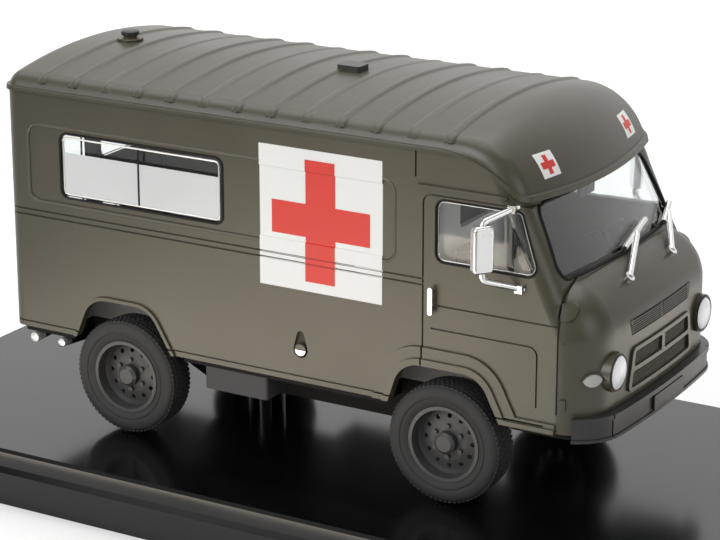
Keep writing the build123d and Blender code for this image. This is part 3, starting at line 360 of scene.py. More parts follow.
def hangLamps():
    for name, place, aim, size, watts, matt in lamps:
        data = bpy.data.lights.new(name, "AREA")
        data.size, data.energy = size, watts
        lamp = bpy.data.objects.new(name, data)
        lamp.location = place
        lamp.rotation_euler = (Vector(place) - Vector(aim)).to_track_quat("Z", "Y").to_euler()
        lamp.visible_camera = False
        lamp.visible_diffuse = matt
        if not matt:
            data.color = sheenTint
        bpy.context.collection.objects.link(lamp)


buildFloor()
buildWorld()
hangLamps()
print("camera and studio placed")


# shared makers for the pieces that Blender adds
def addPiece(name, mesh, look, body=truck, sharp=40):
    mesh.shade_smooth()
    mesh.set_sharp_from_angle(angle=math.radians(sharp))
    mesh.materials.clear()
    mesh.materials.append(finish[look])
    piece = bpy.data.objects.new(name, mesh)
    bpy.context.collection.objects.link(piece)
    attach(piece, body)
    return piece


def surfaceOf(*names):
    corners, faces = [], []
    for name in names:
        mesh = nodes[name].data
        start = len(corners)
        corners += [vertex.co.copy() for vertex in mesh.vertices]
        faces += [[start + index for index in polygon.vertices] for polygon in mesh.polygons]
    return BVHTree.FromPolygons(corners, faces)


def castFrom(surface, start, direction):
    hit = surface.ray_cast(Vector(start) * mm, Vector(direction))[0]
    return hit / mm if hit else None


def joinMeshes(name, meshes):
    builder = bmesh.new()
    for mesh in meshes:
        builder.from_mesh(mesh)
    merged = bpy.data.meshes.new(name)
    builder.to_mesh(merged)
    builder.free()
    return merged


def meshOf(builder, name, outward=None):
    # normals made consistent, and turned towards outward where that is given
    bmesh.ops.recalc_face_normals(builder, faces=builder.faces)
    if outward:
        facing = sum((face.normal * face.calc_area() for face in builder.faces), Vector())
        if facing.dot(outward) < 0:
            bmesh.ops.reverse_faces(builder, faces=builder.faces)
    mesh = bpy.data.meshes.new(name)
    builder.to_mesh(mesh)
    builder.free()
    return mesh


def loftMesh(name, rings, bevel=0.0, crease=0.5):
    # rings of points in mm, joined by quads and closed at both ends
    builder = bmesh.new()
    loops = [[builder.verts.new(Vector(point) * mm) for point in ring] for ring in rings]
    for first, second in zip(loops, loops[1:]):
        for at in range(len(first)):
            builder.faces.new((first[at - 1], first[at], second[at], second[at - 1]))
    builder.faces.new(loops[0])
    builder.faces.new(loops[-1])
    if bevel:
        bmesh.ops.recalc_face_normals(builder, faces=builder.faces)
        edges = [edge for edge in builder.edges if edge.calc_face_angle(0) > crease]
        bmesh.ops.bevel(builder, geom=edges, offset=bevel * mm, segments=2, affect="EDGES",
                        clamp_overlap=True)
    return meshOf(builder, name)


def lathe(name, profile, centre, axis, steps=64):
    # profile points are (along the axis, radius), in mm
    builder = bmesh.new()
    ring = [builder.verts.new((radius * mm, 0, along * mm)) for along, radius in profile]
    chain = [builder.edges.new(pair) for pair in zip(ring, ring[1:])]
    bmesh.ops.spin(builder, geom=ring + chain, cent=(0, 0, 0), axis=(0, 0, 1), angle=2 * math.pi, steps=steps)
    bmesh.ops.remove_doubles(builder, verts=builder.verts, dist=1e-7)
    mesh = meshOf(builder, name)
    turn = Vector((0, 0, 1)).rotation_difference(Vector(axis)).to_matrix().to_4x4()
    mesh.transform(Matrix.Translation(Vector(centre) * mm) @ turn)
    return mesh


def boxCorners(left, low, right, high):
    return [(left, low), (right, low), (right, high), (left, high)]


def roundedLoop(corners, radius, grow=0.0, spacing=0.8, steps=8):
    # a rounded outline as points, each pushed outward by grow; corners run anticlockwise
    loop = []
    count = len(corners)
    points = [Vector(corner) for corner in corners]
    for index in range(count):
        before, here, after = points[index - 1], points[index], points[(index + 1) % count]
        arrive, leave = (here - before).normalized(), (after - here).normalized()
        bend = arrive.angle(leave)
        reach = radius * math.tan(bend / 2)
        first = here - arrive * reach
        centre = first + Vector((-arrive.y, arrive.x)) * radius
        begin = math.atan2(first.y - centre.y, first.x - centre.x)
        for step in range(steps + 1):
            angle = begin + bend * step / steps
            loop.append(centre + Vector((math.cos(angle), math.sin(angle))) * (radius + grow))
        outward = Vector((leave.y, -leave.x)) * grow
        start = here + leave * reach
        nextBend = leave.angle((points[(index + 2) % count] - after).normalized())
        end = after - leave * radius * math.tan(nextBend / 2)
        pieces = max(1, int((end - start).length / spacing))
        loop += [start.lerp(end, part / pieces) + outward for part in range(1, pieces)]
    return loop


def pathMesh(points, closed):
    count = len(points)
    mesh = bpy.data.meshes.new("path")
    edges = [(at, (at + 1) % count) for at in range(count if closed else count - 1)]
    mesh.from_pydata([Vector(point) * mm for point in points], edges, [])
    return mesh


def newTree(name, sockets):
    # a tree with the given inputs between Geometry and Material
    tree = bpy.data.node_groups.new(name, "GeometryNodeTree")
    for label, kind in [("Geometry", "Geometry"), *sockets, ("Material", "Material")]:
        tree.interface.new_socket(label, in_out="INPUT", socket_type="NodeSocket" + kind)
    tree.interface.new_socket("Geometry", in_out="OUTPUT", socket_type="NodeSocketGeometry")
    return tree, tree.nodes.new("NodeGroupInput").outputs, tree.nodes.new("NodeGroupOutput").inputs


def endTree(tree, given, outs, geometry):
    solid = addNode(tree, "GeometryNodeRealizeInstances", {0: geometry}).outputs[0]
    dress = addNode(tree, "GeometryNodeSetMaterial", {"Geometry": solid, "Material": given["Material"]})
    tree.links.new(dress.outputs[0], outs[0])
    return tree


def runTree(tree, source, values):
    holder = bpy.data.objects.new("holder", source)
    bpy.context.collection.objects.link(holder)
    modifier = holder.modifiers.new("build", "NODES")
    modifier.node_group = tree
    for socket in tree.interface.items_tree:
        if socket.in_out == "INPUT" and socket.name in values:
            modifier[socket.identifier] = values[socket.name]
    graph = bpy.context.evaluated_depsgraph_get()
    mesh = bpy.data.meshes.new_from_object(holder.evaluated_get(graph), depsgraph=graph)
    holder.modifiers.clear()
    bpy.data.objects.remove(holder)
    return mesh


def buildTrimTree():
    # a round moulding run along any path
    tree, given, outs = newTree("trimAlongPath", [("Radius", "Float"), ("Sides", "Int")])
    path = addNode(tree, "GeometryNodeMeshToCurve", {"Mesh": given["Geometry"]}).outputs[0]
    circle = {"Resolution": given["Sides"], "Radius": given["Radius"]}
    profile = addNode(tree, "GeometryNodeCurvePrimitiveCircle", circle).outputs[0]
    values = {"Curve": path, "Profile Curve": profile, "Fill Caps": True}
    return endTree(tree, given, outs, addNode(tree, "GeometryNodeCurveToMesh", values).outputs[0])


def buildTreadTree():
    # blocks set round the Z axis, each cut at a skew
    tree, given, outs = newTree("treadRing", [("Count", "Int"), ("Radius", "Float"), ("Across", "Float"),
                                              ("Block", "Vector"), ("Skew", "Float"), ("Phase", "Float")])
    block = addNode(tree, "GeometryNodeMeshCube", {"Size": given["Block"]}).outputs["Mesh"]
    spot = addVector(tree, {"X": given["Radius"], "Z": given["Across"]})
    skew = addVector(tree, {"X": given["Skew"]})
    values = {"Geometry": block, "Translation": spot, "Rotation": skew}
    placed = addNode(tree, "GeometryNodeTransform", values).outputs[0]
    points = addNode(tree, "GeometryNodePoints", {"Count": given["Count"]}).outputs[0]
    share = addMath(tree, "DIVIDE", addNode(tree, "GeometryNodeInputIndex").outputs[0], given["Count"])
    angle = addMath(tree, "ADD", addMath(tree, "MULTIPLY", share, 2 * math.pi), given["Phase"])
    turn = addVector(tree, {"Z": angle})
    values = {"Points": points, "Instance": placed, "Rotation": turn}
    return endTree(tree, given, outs, addNode(tree, "GeometryNodeInstanceOnPoints", values).outputs[0])


def buildScreenTree():
    # a woven wire screen in the XY plane, centred on the origin
    tree, given, outs = newTree("wireScreen", [("Width", "Float"), ("Height", "Float"), ("Pitch", "Float"),
                                               ("Wire", "Float")])
    both = addNode(tree, "GeometryNodeJoinGeometry")
    for along, across, axis, other in (("Width", "Height", "X", "Y"), ("Height", "Width", "Y", "X")):
        count = addMath(tree, "FLOOR", addMath(tree, "DIVIDE", given[along], given["Pitch"]))
        start = addVector(tree, {axis: addMath(tree, "MULTIPLY", given[along], -0.5)})
        offset = addVector(tree, {axis: given["Pitch"]})
        values = {"Count": count, "Start Location": start, "Offset": offset}
        row = addNode(tree, "GeometryNodeMeshLine", values).outputs["Mesh"]
        tips = {label: addVector(tree, {other: addMath(tree, "MULTIPLY", given[across], share)})
                for label, share in (("Start", -0.5), ("End", 0.5))}
        wire = addNode(tree, "GeometryNodeCurvePrimitiveLine", tips).outputs[0]
        bent = addNode(tree, "GeometryNodeResampleCurve", {"Curve": wire, "Count": 12}).outputs[0]
        rows = addNode(tree, "GeometryNodeInstanceOnPoints", {"Points": row, "Instance": bent})
        tree.links.new(rows.outputs[0], both.inputs[0])
    loose = addNode(tree, "GeometryNodeRealizeInstances", {0: both.outputs[0]}).outputs[0]
    circle = {"Resolution": 5, "Radius": given["Wire"]}
    profile = addNode(tree, "GeometryNodeCurvePrimitiveCircle", circle).outputs[0]
    sweep = addNode(tree, "GeometryNodeCurveToMesh", {"Curve": loose, "Profile Curve": profile})
    return endTree(tree, given, outs, sweep.outputs[0])


def trimMesh(points, radius, look, closed=True, facets=8):
    values = {"Radius": radius * mm, "Sides": facets, "Material": finish[look]}
    return runTree(trimTree, pathMesh([point for point in points if point], closed), values)


def addTrim(name, points, radius, look, slot, closed=True):
    return addPiece(name, trimMesh(points, radius, look, closed), look)


trimTree = buildTrimTree()
treadTree = buildTreadTree()
screenTree = buildScreenTree()
bodySurface = surfaceOf("body_shell")
roofSurface = surfaceOf("roof_shell")
sides = (("Right", -1), ("Left", 1))
print("makers ready")

castReach = dict(side=40, end=75)  # where the casts below start, in mm from the frame's origin


def sideCast(surface, side, x, z):
    return castFrom(surface, (x, side * castReach["side"], z), (0, -side, 0))


def frontCast(surface, y, z):
    return castFrom(surface, (castReach["end"], y, z), (-1, 0, 0))


def rearCast(surface, y, z):
    return castFrom(surface, (-castReach["end"], y, z), (1, 0, 0))


def sheetOver(name, spans, step, cast, lift):
    # grids of points dropped onto a surface and lifted off it, one for each pair of spans (low, high)
    builder = bmesh.new()
    for (lowU, highU), (lowV, highV) in spans:
        columns = max(2, round((highU - lowU) / step) + 1)
        rows = max(2, round((highV - lowV) / step) + 1)
        grid = []
        for row in range(rows):
            v = lowV + (highV - lowV) * row / (rows - 1)
            hits = [cast(lowU + (highU - lowU) * column / (columns - 1), v) for column in range(columns)]
            grid.append([builder.verts.new((hit + Vector(lift)) * mm) if hit else None for hit in hits])
        for below, above in zip(grid, grid[1:]):
            for at in range(columns - 1):
                corners = (below[at], below[at + 1], above[at + 1], above[at])
                if all(corners):
                    builder.faces.new(corners)
    return meshOf(builder, name, Vector(lift))


def fieldSpans(centre, size):
    return [tuple((at - length / 2, at + length / 2) for at, length in zip(centre, size))]


def crossSpans(centre, size, arm):
    # a cross as one upright and two side arms
    (u, v), (width, height) = centre, size
    half = arm / 2
    return fieldSpans(centre, (arm, height)) + [((u - width / 2, u - half), (v - half, v + half)),
                                                ((u + half, u + width / 2), (v - half, v + half))]


# white field and red cross on each side, laid over the panel's edges and the belt grooves, with the grooves'
# shade painted on as dark, grey and darker red lines
sideSign = dict(centre=(5.2, deck + 43.35), field=(22.75, 23.5), cross=(18.2, 20.2), arm=5.5, step=0.12,
                lineStep=0.06, belt=(deck + 35.8, deck + 37.6), ease=0.8,
                lift=0.03, crossLift=0.075, shadeLift=0.06, redLift=0.1,
                # the dark dashes, grey lines and darker red lines below are painted shade of the belt
                # grooves; the dark dashes are also gaps in the white print
                gapShade=[((-6.1, 2.4), (deck + 36.06, deck + 36.32)),
                     ((8.0, 12.4), (deck + 36.06, deck + 36.32))],
                grey=[((-6.1, 2.3), (deck + 37.08, deck + 37.3)), ((8.2, 11.4), (deck + 37.1, deck + 37.26)),
                      ((12.4, 16.4), (deck + 36.1, deck + 36.28))],
                red=[((2.5, 7.9), (deck + 36.08, deck + 36.3)), ((2.5, 7.9), (deck + 37.08, deck + 37.28))])


def outerCast(side, x, z, levels):
    # a point at height z on the outermost of the hits at some levels
    hits = [hit for hit in (sideCast(bodySurface, side, x, level) for level in levels) if hit]
    return Vector((x, max(hits, key=lambda hit: side * hit.y).y, z)) if hits else None


def easedCast(side, x, z):
    # the field follows the belt grooves, and bridges the low panel edges above and below them
    low, high = sideSign["belt"]
    if low <= z <= high:
        return sideCast(bodySurface, side, x, z)
    near = [z + shift for shift in (-sideSign["ease"], 0, sideSign["ease"])]
    return outerCast(side, x, z, [level for level in near if not low <= level <= high])


def bridgedCast(side, x, z):
    # the cross lies flat over the grooves too, whose shade is painted on it as darker red lines
    return outerCast(side, x, z, [z + shift for shift in (-sideSign["ease"], 0, sideSign["ease"])])


def buildSideSigns():
    field = fieldSpans(sideSign["centre"], sideSign["field"])
    cross = crossSpans(sideSign["centre"], sideSign["cross"], sideSign["arm"])
    layers = [("sideField", field, "signWhite", easedCast, "step", "lift"),
              ("sideCross", cross, "signRed", bridgedCast, "step", "crossLift"),
              # the three line layers paint the shade of the belt grooves; the dark dashes are also gaps in
              # the white print
              ("beltGapShade", sideSign["gapShade"], "grooveGapShade", easedCast, "lineStep", "shadeLift"),
              ("beltShadeGrey", sideSign["grey"], "grooveShadeGrey", easedCast, "lineStep", "shadeLift"),
              ("beltShadeRed", sideSign["red"], "grooveShadeRed", bridgedCast, "lineStep", "redLift")]
    for label, side in sides:
        for title, spans, look, cast, step, lift in layers:
            drop = lambda x, z, cast=cast, side=side: cast(side, x, z)
            sheet = sheetOver(title + label, spans, sideSign[step], drop, (0, side * sideSign[lift], 0))
            addPiece(title + label, sheet, look)


# soft edge of the pressed panel, as a bead that stops at the white field
panelEdge = dict(corners=boxCorners(-52.5, deck + 38.9, 18.9, deck + 52.3), radius=2.0, gap=0.02, spacing=0.2,
                 bead=0.32, facets=16, sink=0.22, around=[(0, 0.3), (0, -0.3), (0.3, 0), (-0.3, 0)])


def buildPanelEdges():
    u, wide = sideSign["centre"][0], sideSign["field"][0] / 2 + panelEdge["gap"]
    loop = roundedLoop(panelEdge["corners"], panelEdge["radius"], spacing=panelEdge["spacing"])
    ends = {"Front": [at for at in loop if at[0] > u + wide], "Rear": [at for at in loop if at[0] < u - wide]}
    for label, side in sides:
        for title, part in ends.items():
            jump = max(range(len(part)), key=lambda at: math.dist(part[at - 1], part[at]))
            line = []
            for x, z in part[jump:] + part[:jump]:
                hits = (sideCast(bodySurface, side, x + shift, z + rise)
                        for shift, rise in panelEdge["around"])
                outer = max((hit for hit in hits if hit), key=lambda hit: side * hit.y)
                line.append(Vector((x, outer.y - side * panelEdge["sink"], z)))
            bead = trimMesh(line, panelEdge["bead"], "olivePaint", closed=False, facets=panelEdge["facets"])
            addPiece("panelEdge" + title + label, bead, "olivePaint", sharp=60)


# small fields and crosses on the brow of the roof
browSign = dict(places=(-14.4, 14.4), height=deck + 55.8, field=(4.4, 3.5), cross=(3.2, 2.75), arm=0.95,
                step=0.15, lift=0.03, crossLift=0.051)


def buildBrowSigns():
    cast = lambda y, z: frontCast(roofSurface, y, z)
    for (label, _), y in zip(sides, browSign["places"]):
        centre = (y, browSign["height"])
        field = fieldSpans(centre, browSign["field"])
        cross = crossSpans(centre, browSign["cross"], browSign["arm"])
        for title, spans, look, lift in (("browField", field, "signWhite", browSign["lift"]),
                                         ("browCross", cross, "signRed", browSign["crossLift"])):
            sheet = sheetOver(title + label, spans, browSign["step"], cast, (lift, 0, lift))
            addPiece(title + label, sheet, look)


buildSideSigns()
buildBrowSigns()
print("markings laid")

# seals and frames round the windows, the frames being light trim that paints the highlight along the panes'
# edges: corners in the opening's own plane
loadWindow = dict(corners=boxCorners(-45.8, deck + 40.3, -13.4, deck + 51.3), radius=1.4, sealRadius=0.22,
                  sealGrow=0.08, frameRadius=0.17, frameGrow=-0.6, filmTop=deck + 48.1, filmLift=0.03,
                  filmStep=0.5, dividerX=-30.0, dividerGap=0.2, dividerRadius=0.16, dividerSteps=10)
doorWindow = dict(corners=[(26.2, deck + 40.4), (43.9, deck + 40.4), (40.3, deck + 50.3),
                           (26.2, deck + 50.3)], radius=1.4, sealRadius=0.17, sealGrow=0.1,
                  frameRadius=0.085, frameGrow=-0.22)
screenWindow = dict(corners=[(-20.4, deck + 39.5), (20.4, deck + 39.5), (18.7, deck + 50.5),
                             (-18.7, deck + 50.5)], radius=2.2, sealRadius=0.3, sealGrow=0.1)
rearWindow = dict(corners=boxCorners(2.4, deck + 40.0, 15.6, deck + 51.0), radius=1.4, sealRadius=0.24,
                  sealGrow=0.1)
edgeLooks = dict(seal=("sealRubber", "trim_black"), frame=("frameHighlight", "bright_metal"))


def addEdge(name, spec, part, cast):
    # a seal or a frame that follows the outline of a window
    outline = roundedLoop(spec["corners"], spec["radius"], spec[part + "Grow"])
    addTrim(name, [cast(*point) for point in outline], spec[part + "Radius"], *edgeLooks[part])


def buildSideWindows():
    for label, side in sides:
        for title, spec, glass in (("load", loadWindow, "load_glass_"), ("door", doorWindow, "cab_glass_")):
            panes = surfaceOf(glass + label.lower())
            addEdge(title + "Seal" + label, spec, "seal", lambda x, z: sideCast(bodySurface, side, x, z))
            # the frame is cast onto the pane as a painted highlight along its edge
            addEdge(title + "Frame" + label, spec, "frame", lambda x, z: sideCast(panes, side, x, z))


def buildFilms():
    # white film on the lower part of each sliding pane, and the panes' meeting edge
    (left, low), (right, top) = loadWindow["corners"][0], loadWindow["corners"][2]
    inset, gap, middle = -loadWindow["frameGrow"], loadWindow["dividerGap"], loadWindow["dividerX"]
    lift, steps = loadWindow["filmLift"], loadWindow["dividerSteps"]
    height = (low + inset, loadWindow["filmTop"])
    spans = [((left + inset, middle - gap), height), ((middle + gap, right - inset), height)]
    for label, side in sides:
        panes = surfaceOf("load_glass_" + label.lower())
        cast = lambda x, z, side=side, panes=panes: sideCast(panes, side, x, z)
        film = sheetOver("film" + label, spans, loadWindow["filmStep"], cast, (0, side * lift, 0))
        addPiece("film" + label, film, "frostWhite")
        levels = [low + inset + (top - low - 2 * inset) * step / steps for step in range(steps + 1)]
        addTrim("paneEdge" + label, [cast(middle, z) for z in levels], loadWindow["dividerRadius"],
                "sealRubber", "trim_black", closed=False)


def buildEndWindows():
    addEdge("screenSeal", screenWindow, "seal", lambda y, z: frontCast(bodySurface, y, z))
    for label, side in sides:
        addEdge("rearSeal" + label, rearWindow, "seal", lambda y, z: rearCast(bodySurface, side * y, z))


buildSideWindows()
buildFilms()
buildEndWindows()
print("windows trimmed")

# tyres: a moulded carcass with six rings of tread blocks
tyre = dict(profile=[(-2.4, 6.3), (-2.75, 6.9), (-2.92, 7.6), (-3.0, 8.3), (-2.97, 8.8), (-2.82, 9.25),
                     (-2.5, 9.58), (-2.0, 9.74), (-1.0, 9.81), (0, 9.82), (1.0, 9.81), (2.0, 9.74),
                     (2.5, 9.58), (2.82, 9.25), (2.97, 8.8), (3.0, 8.3), (2.97, 7.85), (2.9, 7.75),
                     (2.8, 7.7), (2.8, 7.45), (2.9, 7.38), (2.84, 7.1), (2.7, 6.8), (2.4, 6.3), (-2.4, 6.3)],
            axleX=(27.7, -33.7), axleZ=20.2, wheelY=20.5, count=72,  # rows: across, width, phase, top radius
            rows=[(-2.12, 0.7, 0.0, 9.84), (-1.28, 0.66, 0.5, 9.92), (-0.42, 0.66, 0.0, 9.95),
                  (0.42, 0.66, 0.5, 9.95), (1.28, 0.66, 0.0, 9.92), (2.12, 0.7, 0.5, 9.84)],
            blockLength=0.6, blockHeight=0.5, skew=12.0)


def buildTread():
    meshes = []
    for across, wide, phase, top in tyre["rows"]:
        values = {"Count": tyre["count"], "Across": across * mm,
                  "Radius": (top - tyre["blockHeight"] / 2) * mm,
                  "Block": (tyre["blockHeight"] * mm, tyre["blockLength"] * mm, wide * mm),
                  "Skew": math.radians(tyre["skew"] * (1 if across > 0 else -1)),
                  "Phase": phase * 2 * math.pi / tyre["count"], "Material": finish["tyreRubber"]}
        meshes.append(runTree(treadTree, bpy.data.meshes.new("tread"), values))
    return meshes


def buildTyres():
    tread = buildTread()
    for end, body, axleX in (("front", frontSet, tyre["axleX"][0]), ("rear", rearSet, tyre["axleX"][1])):
        for label, side in sides:
            centre = (axleX, side * tyre["wheelY"], tyre["axleZ"])
            carcass = lathe("carcass", tyre["profile"], centre, (0, side, 0), steps=96)
            turn = Matrix.Rotation(math.radians(-90 * side), 4, "X")
            rings = joinMeshes("rings", tread)
            rings.transform(Matrix.Translation(Vector(centre) * mm) @ turn)
            mesh = joinMeshes("tyre", [carcass, rings])
            piece = addPiece(end + "Tyre" + label, mesh, "tyreRubber", body, sharp=35)
            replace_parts(piece, end + "_tyre_" + label.lower())


buildTyres()
print("tyres moulded")

# headlamps: fluted lens, plated bowl and bulb behind it
lampBox = [corner / mm for corner in map(Vector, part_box("lamp_lenses"))]
headlamp = dict(stand=0.3, drawnRadius=2.4,  # the lens's stand, and the radius the profiles are drawn for
                lens=[(0.3, 0.0), (0.27, 0.8), (0.17, 1.6), (0.0, 2.15), (-0.2, 2.38), (-0.35, 2.38),
                      (-0.3, 1.6), (-0.22, 0.8), (-0.2, 0.0)],
                bowl=[(-0.36, 2.36), (-0.7, 1.9), (-0.98, 1.2), (-1.12, 0.5), (-1.14, 0.0), (-1.19, 0.0),
                      (-1.19, 2.36), (-0.36, 2.38)],
                bulb=[(-1.12, 0.5), (-0.95, 0.5), (-0.9, 0.38), (-0.7, 0.36), (-0.55, 0.22), (-0.5, 0.0)])


def buildHeadlamps():
    radius = (lampBox[1].z - lampBox[0].z) / 2
    x, y, z = lampBox[1].x - headlamp["stand"], lampBox[1].y - radius, lampBox[1].z - radius
    fit = radius / headlamp["drawnRadius"]
    for label, side in sides:
        for part, look, slot, steps in (("lens", "flutedLens", "lamp_clear", 48),
                                        ("bowl", "lampBowl", "bright_metal", 48),
                                        ("bulb", "bulbGlass", "lamp_clear", 24)):
            profile = [(along, fit * out) for along, out in headlamp[part]]
            mesh = lathe(part, profile, (x, side * y, z), (1, 0, 0), steps)
            piece = addPiece("lamp" + part.capitalize() + label, mesh, look)
            if part == "lens" and side < 0:
                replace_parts(piece, "lamp_lenses")


buildHeadlamps()

# wire screens in the radiator panel's three recesses: middle y, middle z, width, height
screens = dict(places=[(0.0, deck + 22.2, 20.9, 2.4), (-5.2, deck + 25.45, 8.9, 2.3),
                       (5.2, deck + 25.45, 8.9, 2.3)], pitch=0.42, wire=0.08, lift=0.45, spareDepth=54.0)


def buildScreens():
    panel = surfaceOf("radiator_panel")
    for number, (y, z, width, height) in enumerate(screens["places"], 1):
        mesh = runTree(screenTree, bpy.data.meshes.new("screen"),
                       {"Width": width * mm, "Height": height * mm, "Pitch": screens["pitch"] * mm,
                        "Wire": screens["wire"] * mm, "Material": finish["screenOlive"]})
        for vertex in mesh.vertices:
            across, up, out = vertex.co / mm
            hit = frontCast(panel, y + across, z + up)
            depth = hit.x if hit else screens["spareDepth"]
            vertex.co = Vector((depth + screens["lift"] + out, y + across, z + up)) * mm
        addPiece("radiatorScreen%d" % number, mesh, "screenOlive")


# painted highlights along the edges of the louvres in the upper grille: light rods in two halves beside the
# middle post
louvres = dict(low=deck + 29.4, high=deck + 32.1, lowHalf=10.9, highHalf=11.7, count=7, margin=0.35,
               post=0.35, radius=0.075, facets=6, lift=0.02, steps=24, dip=1.0, firstRow=1.25, spareRows=0.5)


def buildLouvreHighlights():
    grille = surfaceOf("upper_grille")
    post, steps = louvres["post"], louvres["steps"]
    edges = []
    for row in range(louvres["count"] - 1):
        share = (row + louvres["firstRow"]) / (louvres["count"] + louvres["spareRows"])
        z = louvres["low"] + share * (louvres["high"] - louvres["low"])
        half = louvres["lowHalf"] + share * (louvres["highHalf"] - louvres["lowHalf"]) - louvres["margin"]
        for side in (-1, 1):
            places = [side * (post + (half - post) * step / steps) for step in range(steps + 1)]
            hits = [hit for hit in (frontCast(grille, y, z) for y in places) if hit]
            inner = max(hit.x for hit in hits) - louvres["dip"]
            line = [hit + Vector((louvres["lift"], 0, 0)) for hit in hits if hit.x > inner]
            edges.append(trimMesh(line, louvres["radius"], "louvreHighlight", False, louvres["facets"]))
    addPiece("louvreHighlights", joinMeshes("louvreHighlights", edges), "louvreHighlight")


buildScreens()
buildLouvreHighlights()
print("lamps and screens fitted")

# bright sleeves on the rods under the tail: x, end y, z, sleeve radius
rodSleeves = dict(places=[("pipeSleeve", -48.2, -21.6, deck + 13.3, 0.78),
                          ("barSleeveRight", -54.0, -21.6, deck + 13.3, 0.88),
                          ("barSleeveLeft", -54.0, 21.6, deck + 13.3, 0.88)],
                  length=2.1, dome=0.06,
                  wall=[(0.06, 0.2), (0.0, 0.05), (-0.15, 0.0), (-2.0, 0.0), (-2.1, 0.06)])


def buildSleeves():
    # the wall's points are along the rod and in from the sleeve's radius
    for name, x, y, z, radius in rodSleeves["places"]:
        wall = [(along, radius - inset) for along, inset in rodSleeves["wall"]]
        profile = [(rodSleeves["dome"], 0.0), *wall, (-rodSleeves["length"], 0.0)]
        sleeve = lathe(name, profile, (x, y, z), (0, 1 if y > 0 else -1, 0), steps=32)
        addPiece(name, sleeve, "sleeveBright")


# mirror glasses on the backs of the heads
mirrorGlass = dict(centre=(36.5, 27.5, deck + 45.0), normal=(-0.8, 0.6), radius=0.6, back=0.7, thick=0.06,
                   corners=boxCorners(-1.4, -3.5, 1.4, 3.5))


def buildMirrorGlasses():
    x, y, z = mirrorGlass["centre"]
    outline = roundedLoop(mirrorGlass["corners"], mirrorGlass["radius"])
    for label, side in sides:
        normal = Vector((mirrorGlass["normal"][0], -side * mirrorGlass["normal"][1], 0))
        along = Vector((-normal.y, normal.x, 0))
        rims = []
        for depth in (0.0, mirrorGlass["thick"]):
            middle = Vector((x, side * y, z)) + normal * (mirrorGlass["back"] + depth)
            rims.append([middle + along * u + Vector((0, 0, v)) for u, v in outline])
        addPiece("mirrorGlass" + label, loftMesh("mirrorGlass", rims), "silverGlass")


# rear roof vent: olive foot and stem under a dark cap
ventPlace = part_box("roof_vent")
roofVent = dict(x=-47.3, height=1.8,
                foot=[(-0.55, 2.28), (0.35, 2.28), (0.48, 2.15), (0.5, 1.2), (0.95, 1.18)],
                cap=[(0.9, 0.0), (0.9, 1.5), (1.0, 1.6), (1.55, 1.6), (1.72, 1.45), (1.79, 1.0), (1.8, 0.0)])


def buildVent():
    base = (roofVent["x"], 0, ventPlace[1][2] / mm - roofVent["height"])
    foot, cap = (lathe(part, roofVent[part], base, (0, 0, 1), steps=48) for part in ("foot", "cap"))
    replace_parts(addPiece("ventFoot", foot, "olivePaint"), "roof_vent")
    addPiece("ventCap", cap, "trimBlack")


# soft swages over the roof's ribs: a level crown that falls away to the roof on both sides, each third faint
roofRib = dict(first=-49.4, pitch=6.45, count=13, reach=66.0, steps=128, pivot=deck + 40, far=60, bold=0.32,
               faint=0.17, crown=0.4, width=1.15, lanes=12, beside=1.6, sink=0.03, foot=deck + 59.3)


def buildRibs():
    width, crown, beside = roofRib["width"], roofRib["crown"], roofRib["beside"]
    lanes = [width * (2 * lane / roofRib["lanes"] - 1) for lane in range(roofRib["lanes"] + 1)]
    for row in range(roofRib["count"]):
        height = roofRib["faint"] if row % 3 == 2 else roofRib["bold"]
        x = roofRib["first"] + row * roofRib["pitch"]
        builder = bmesh.new()
        last = None
        for step in range(roofRib["steps"] + 1):
            angle = math.radians(roofRib["reach"] * (2 * step / roofRib["steps"] - 1))
            ray = Vector((0, math.sin(angle), math.cos(angle)))
            far = roofRib["far"] * ray + Vector((x, 0, roofRib["pivot"]))
            feet = [castFrom(roofSurface, far + Vector((shift, 0, 0)), -ray) for shift in (-beside, beside)]
            if not all(feet) or min(foot.z for foot in feet) < roofRib["foot"]:
                continue
            line = []
            for lane in lanes:
                fall = max(0.0, abs(lane) - crown) / (width - crown)
                rise = height * (1 + math.cos(math.pi * fall)) / 2 - roofRib["sink"] * fall
                base = feet[0].lerp(feet[1], (lane + beside) / (2 * beside))
                line.append(builder.verts.new((base + rise * ray) * mm))
            for at in range(1, len(line) if last else 0):
                builder.faces.new((last[at - 1], last[at], line[at], line[at - 1]))
            last = line
        mesh = meshOf(builder, "swage", Vector((0, 0, 1)))
        addPiece("roofSwage%02d" % (row + 1), mesh, "olivePaint", sharp=60)


# frame rails under the floor, as open channels that face inward: x ends, web y, levels, flange and sheet
frameRail = dict(ends=(-28.0, 22.0), web=13.6, low=deck + 9.0, high=deck + 14.6, flange=1.5, sheet=0.4,
                 kick=2.4, taper=5.0, bevel=0.08)


def buildRails():
    rear, front = frameRail["ends"]
    low, high, web, sheet = (frameRail[label] for label in ("low", "high", "web", "sheet"))
    inner, wall = web - frameRail["flange"], web - sheet
    kick, taper = frameRail["kick"], frameRail["taper"]
    for label, side in sides:
        rings = []
        for x, lift in ((rear, kick), (rear + taper, 0.0), (front - taper, 0.0), (front, kick)):
            foot = low + lift
            section = [(web, foot), (web, high), (inner, high), (inner, high - sheet), (wall, high - sheet),
                       (wall, foot + sheet), (inner, foot + sheet), (inner, foot)]
            rings.append([(x, side * y, z) for y, z in section])
        rail = loftMesh("rail", rings, frameRail["bevel"])
        addPiece("frameRail" + label, rail, "chassisBlack")


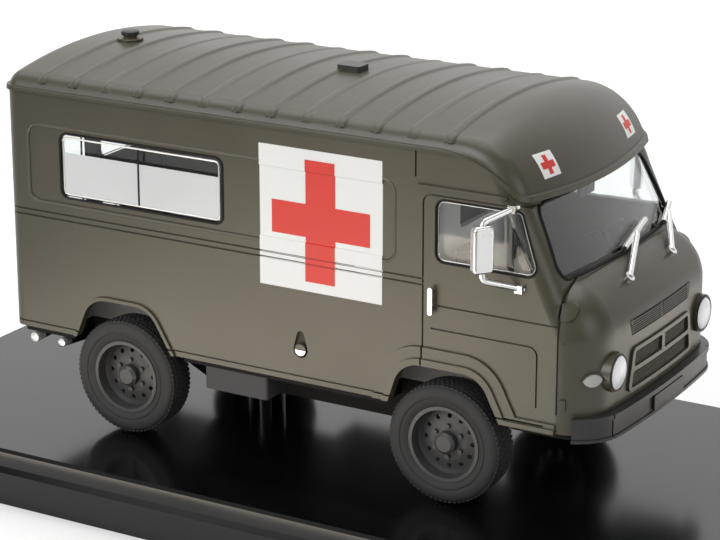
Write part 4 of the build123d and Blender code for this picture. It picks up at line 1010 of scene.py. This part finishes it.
# the fuel cap: a dish in olive paint, which is painted shade over the cap's upper part, with a bright lower
# half, in a recess whose floor is painted shade, with a thumb notch
fuelBox = [corner / mm for corner in map(Vector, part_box("fuel_cap"))]
fuelCap = dict(dish=[(0.0, 0.0), (-0.12, 0.7), (-0.02, 0.95), (0.0, 1.0), (-0.3, 1.02), (-0.35, 0.0)],
               reach=1.5, inset=0.93, depth=0.3, brightLift=0.05, steps=20, floorRadius=1.3, floorLift=0.03,
               thumbRise=2.5, thumbRadius=0.62)


def arcPoints(middle, radius, begin, end):
    # points on an arc in a plane across Y
    turns = [begin + (end - begin) * step / fuelCap["steps"] for step in range(fuelCap["steps"] + 1)]
    return [middle + radius * Vector((math.cos(turn), 0, math.sin(turn))) for turn in turns]


def buildFuelCap():
    radius = (fuelBox[1].z - fuelBox[0].z) / 2
    centre = (fuelBox[0] + fuelBox[1]) / 2
    centre.y = max(fuelBox[0].y, fuelBox[1].y, key=abs)
    side = -1 if centre.y < 0 else 1
    profile = [(along, out * radius) for along, out in fuelCap["dish"]]
    # the dish in olive paint is painted shade over the upper part of the bright cap
    dish = lathe("dish", profile, centre, (0, side, 0), steps=40)
    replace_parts(addPiece("fuelCapShade", dish, "olivePaint"), "fuel_cap")
    # painted shade on the floor of the recess, from a wide arc below to the thumb notch above
    large, small, rise = fuelCap["floorRadius"], fuelCap["thumbRadius"], fuelCap["thumbRise"]
    lift = Vector((0, side * fuelCap["floorLift"], 0))
    thumb = sideCast(bodySurface, side, centre.x, centre.z + rise) + lift
    tilt = math.asin((large - small) / rise)
    outline = arcPoints(thumb - Vector((0, 0, rise)), large, math.pi - tilt, 2 * math.pi + tilt)
    outline += arcPoints(thumb, small, tilt, math.pi - tilt)
    shade = bpy.data.meshes.new("shade")
    shade.from_pydata([point * mm for point in outline[::-side]], [], [tuple(range(len(outline)))])
    addPiece("fuelRecessShade", shade, "recessShadeOlive")
    # the bright part is the lower half of the cap, as a thin plate
    down, reach, bright = math.pi * 1.5, fuelCap["reach"], fuelCap["inset"] * radius
    rims = [arcPoints(centre + Vector((0, side * out, 0)), bright, down - reach, down + reach)
            for out in (-fuelCap["depth"], fuelCap["brightLift"])]
    addPiece("fuelHalf", loftMesh("half", rims), "brightPlate")


buildRibs()
buildPanelEdges()
buildRails()
buildFuelCap()
buildSleeves()
buildMirrorGlasses()
buildVent()
print("fittings added")
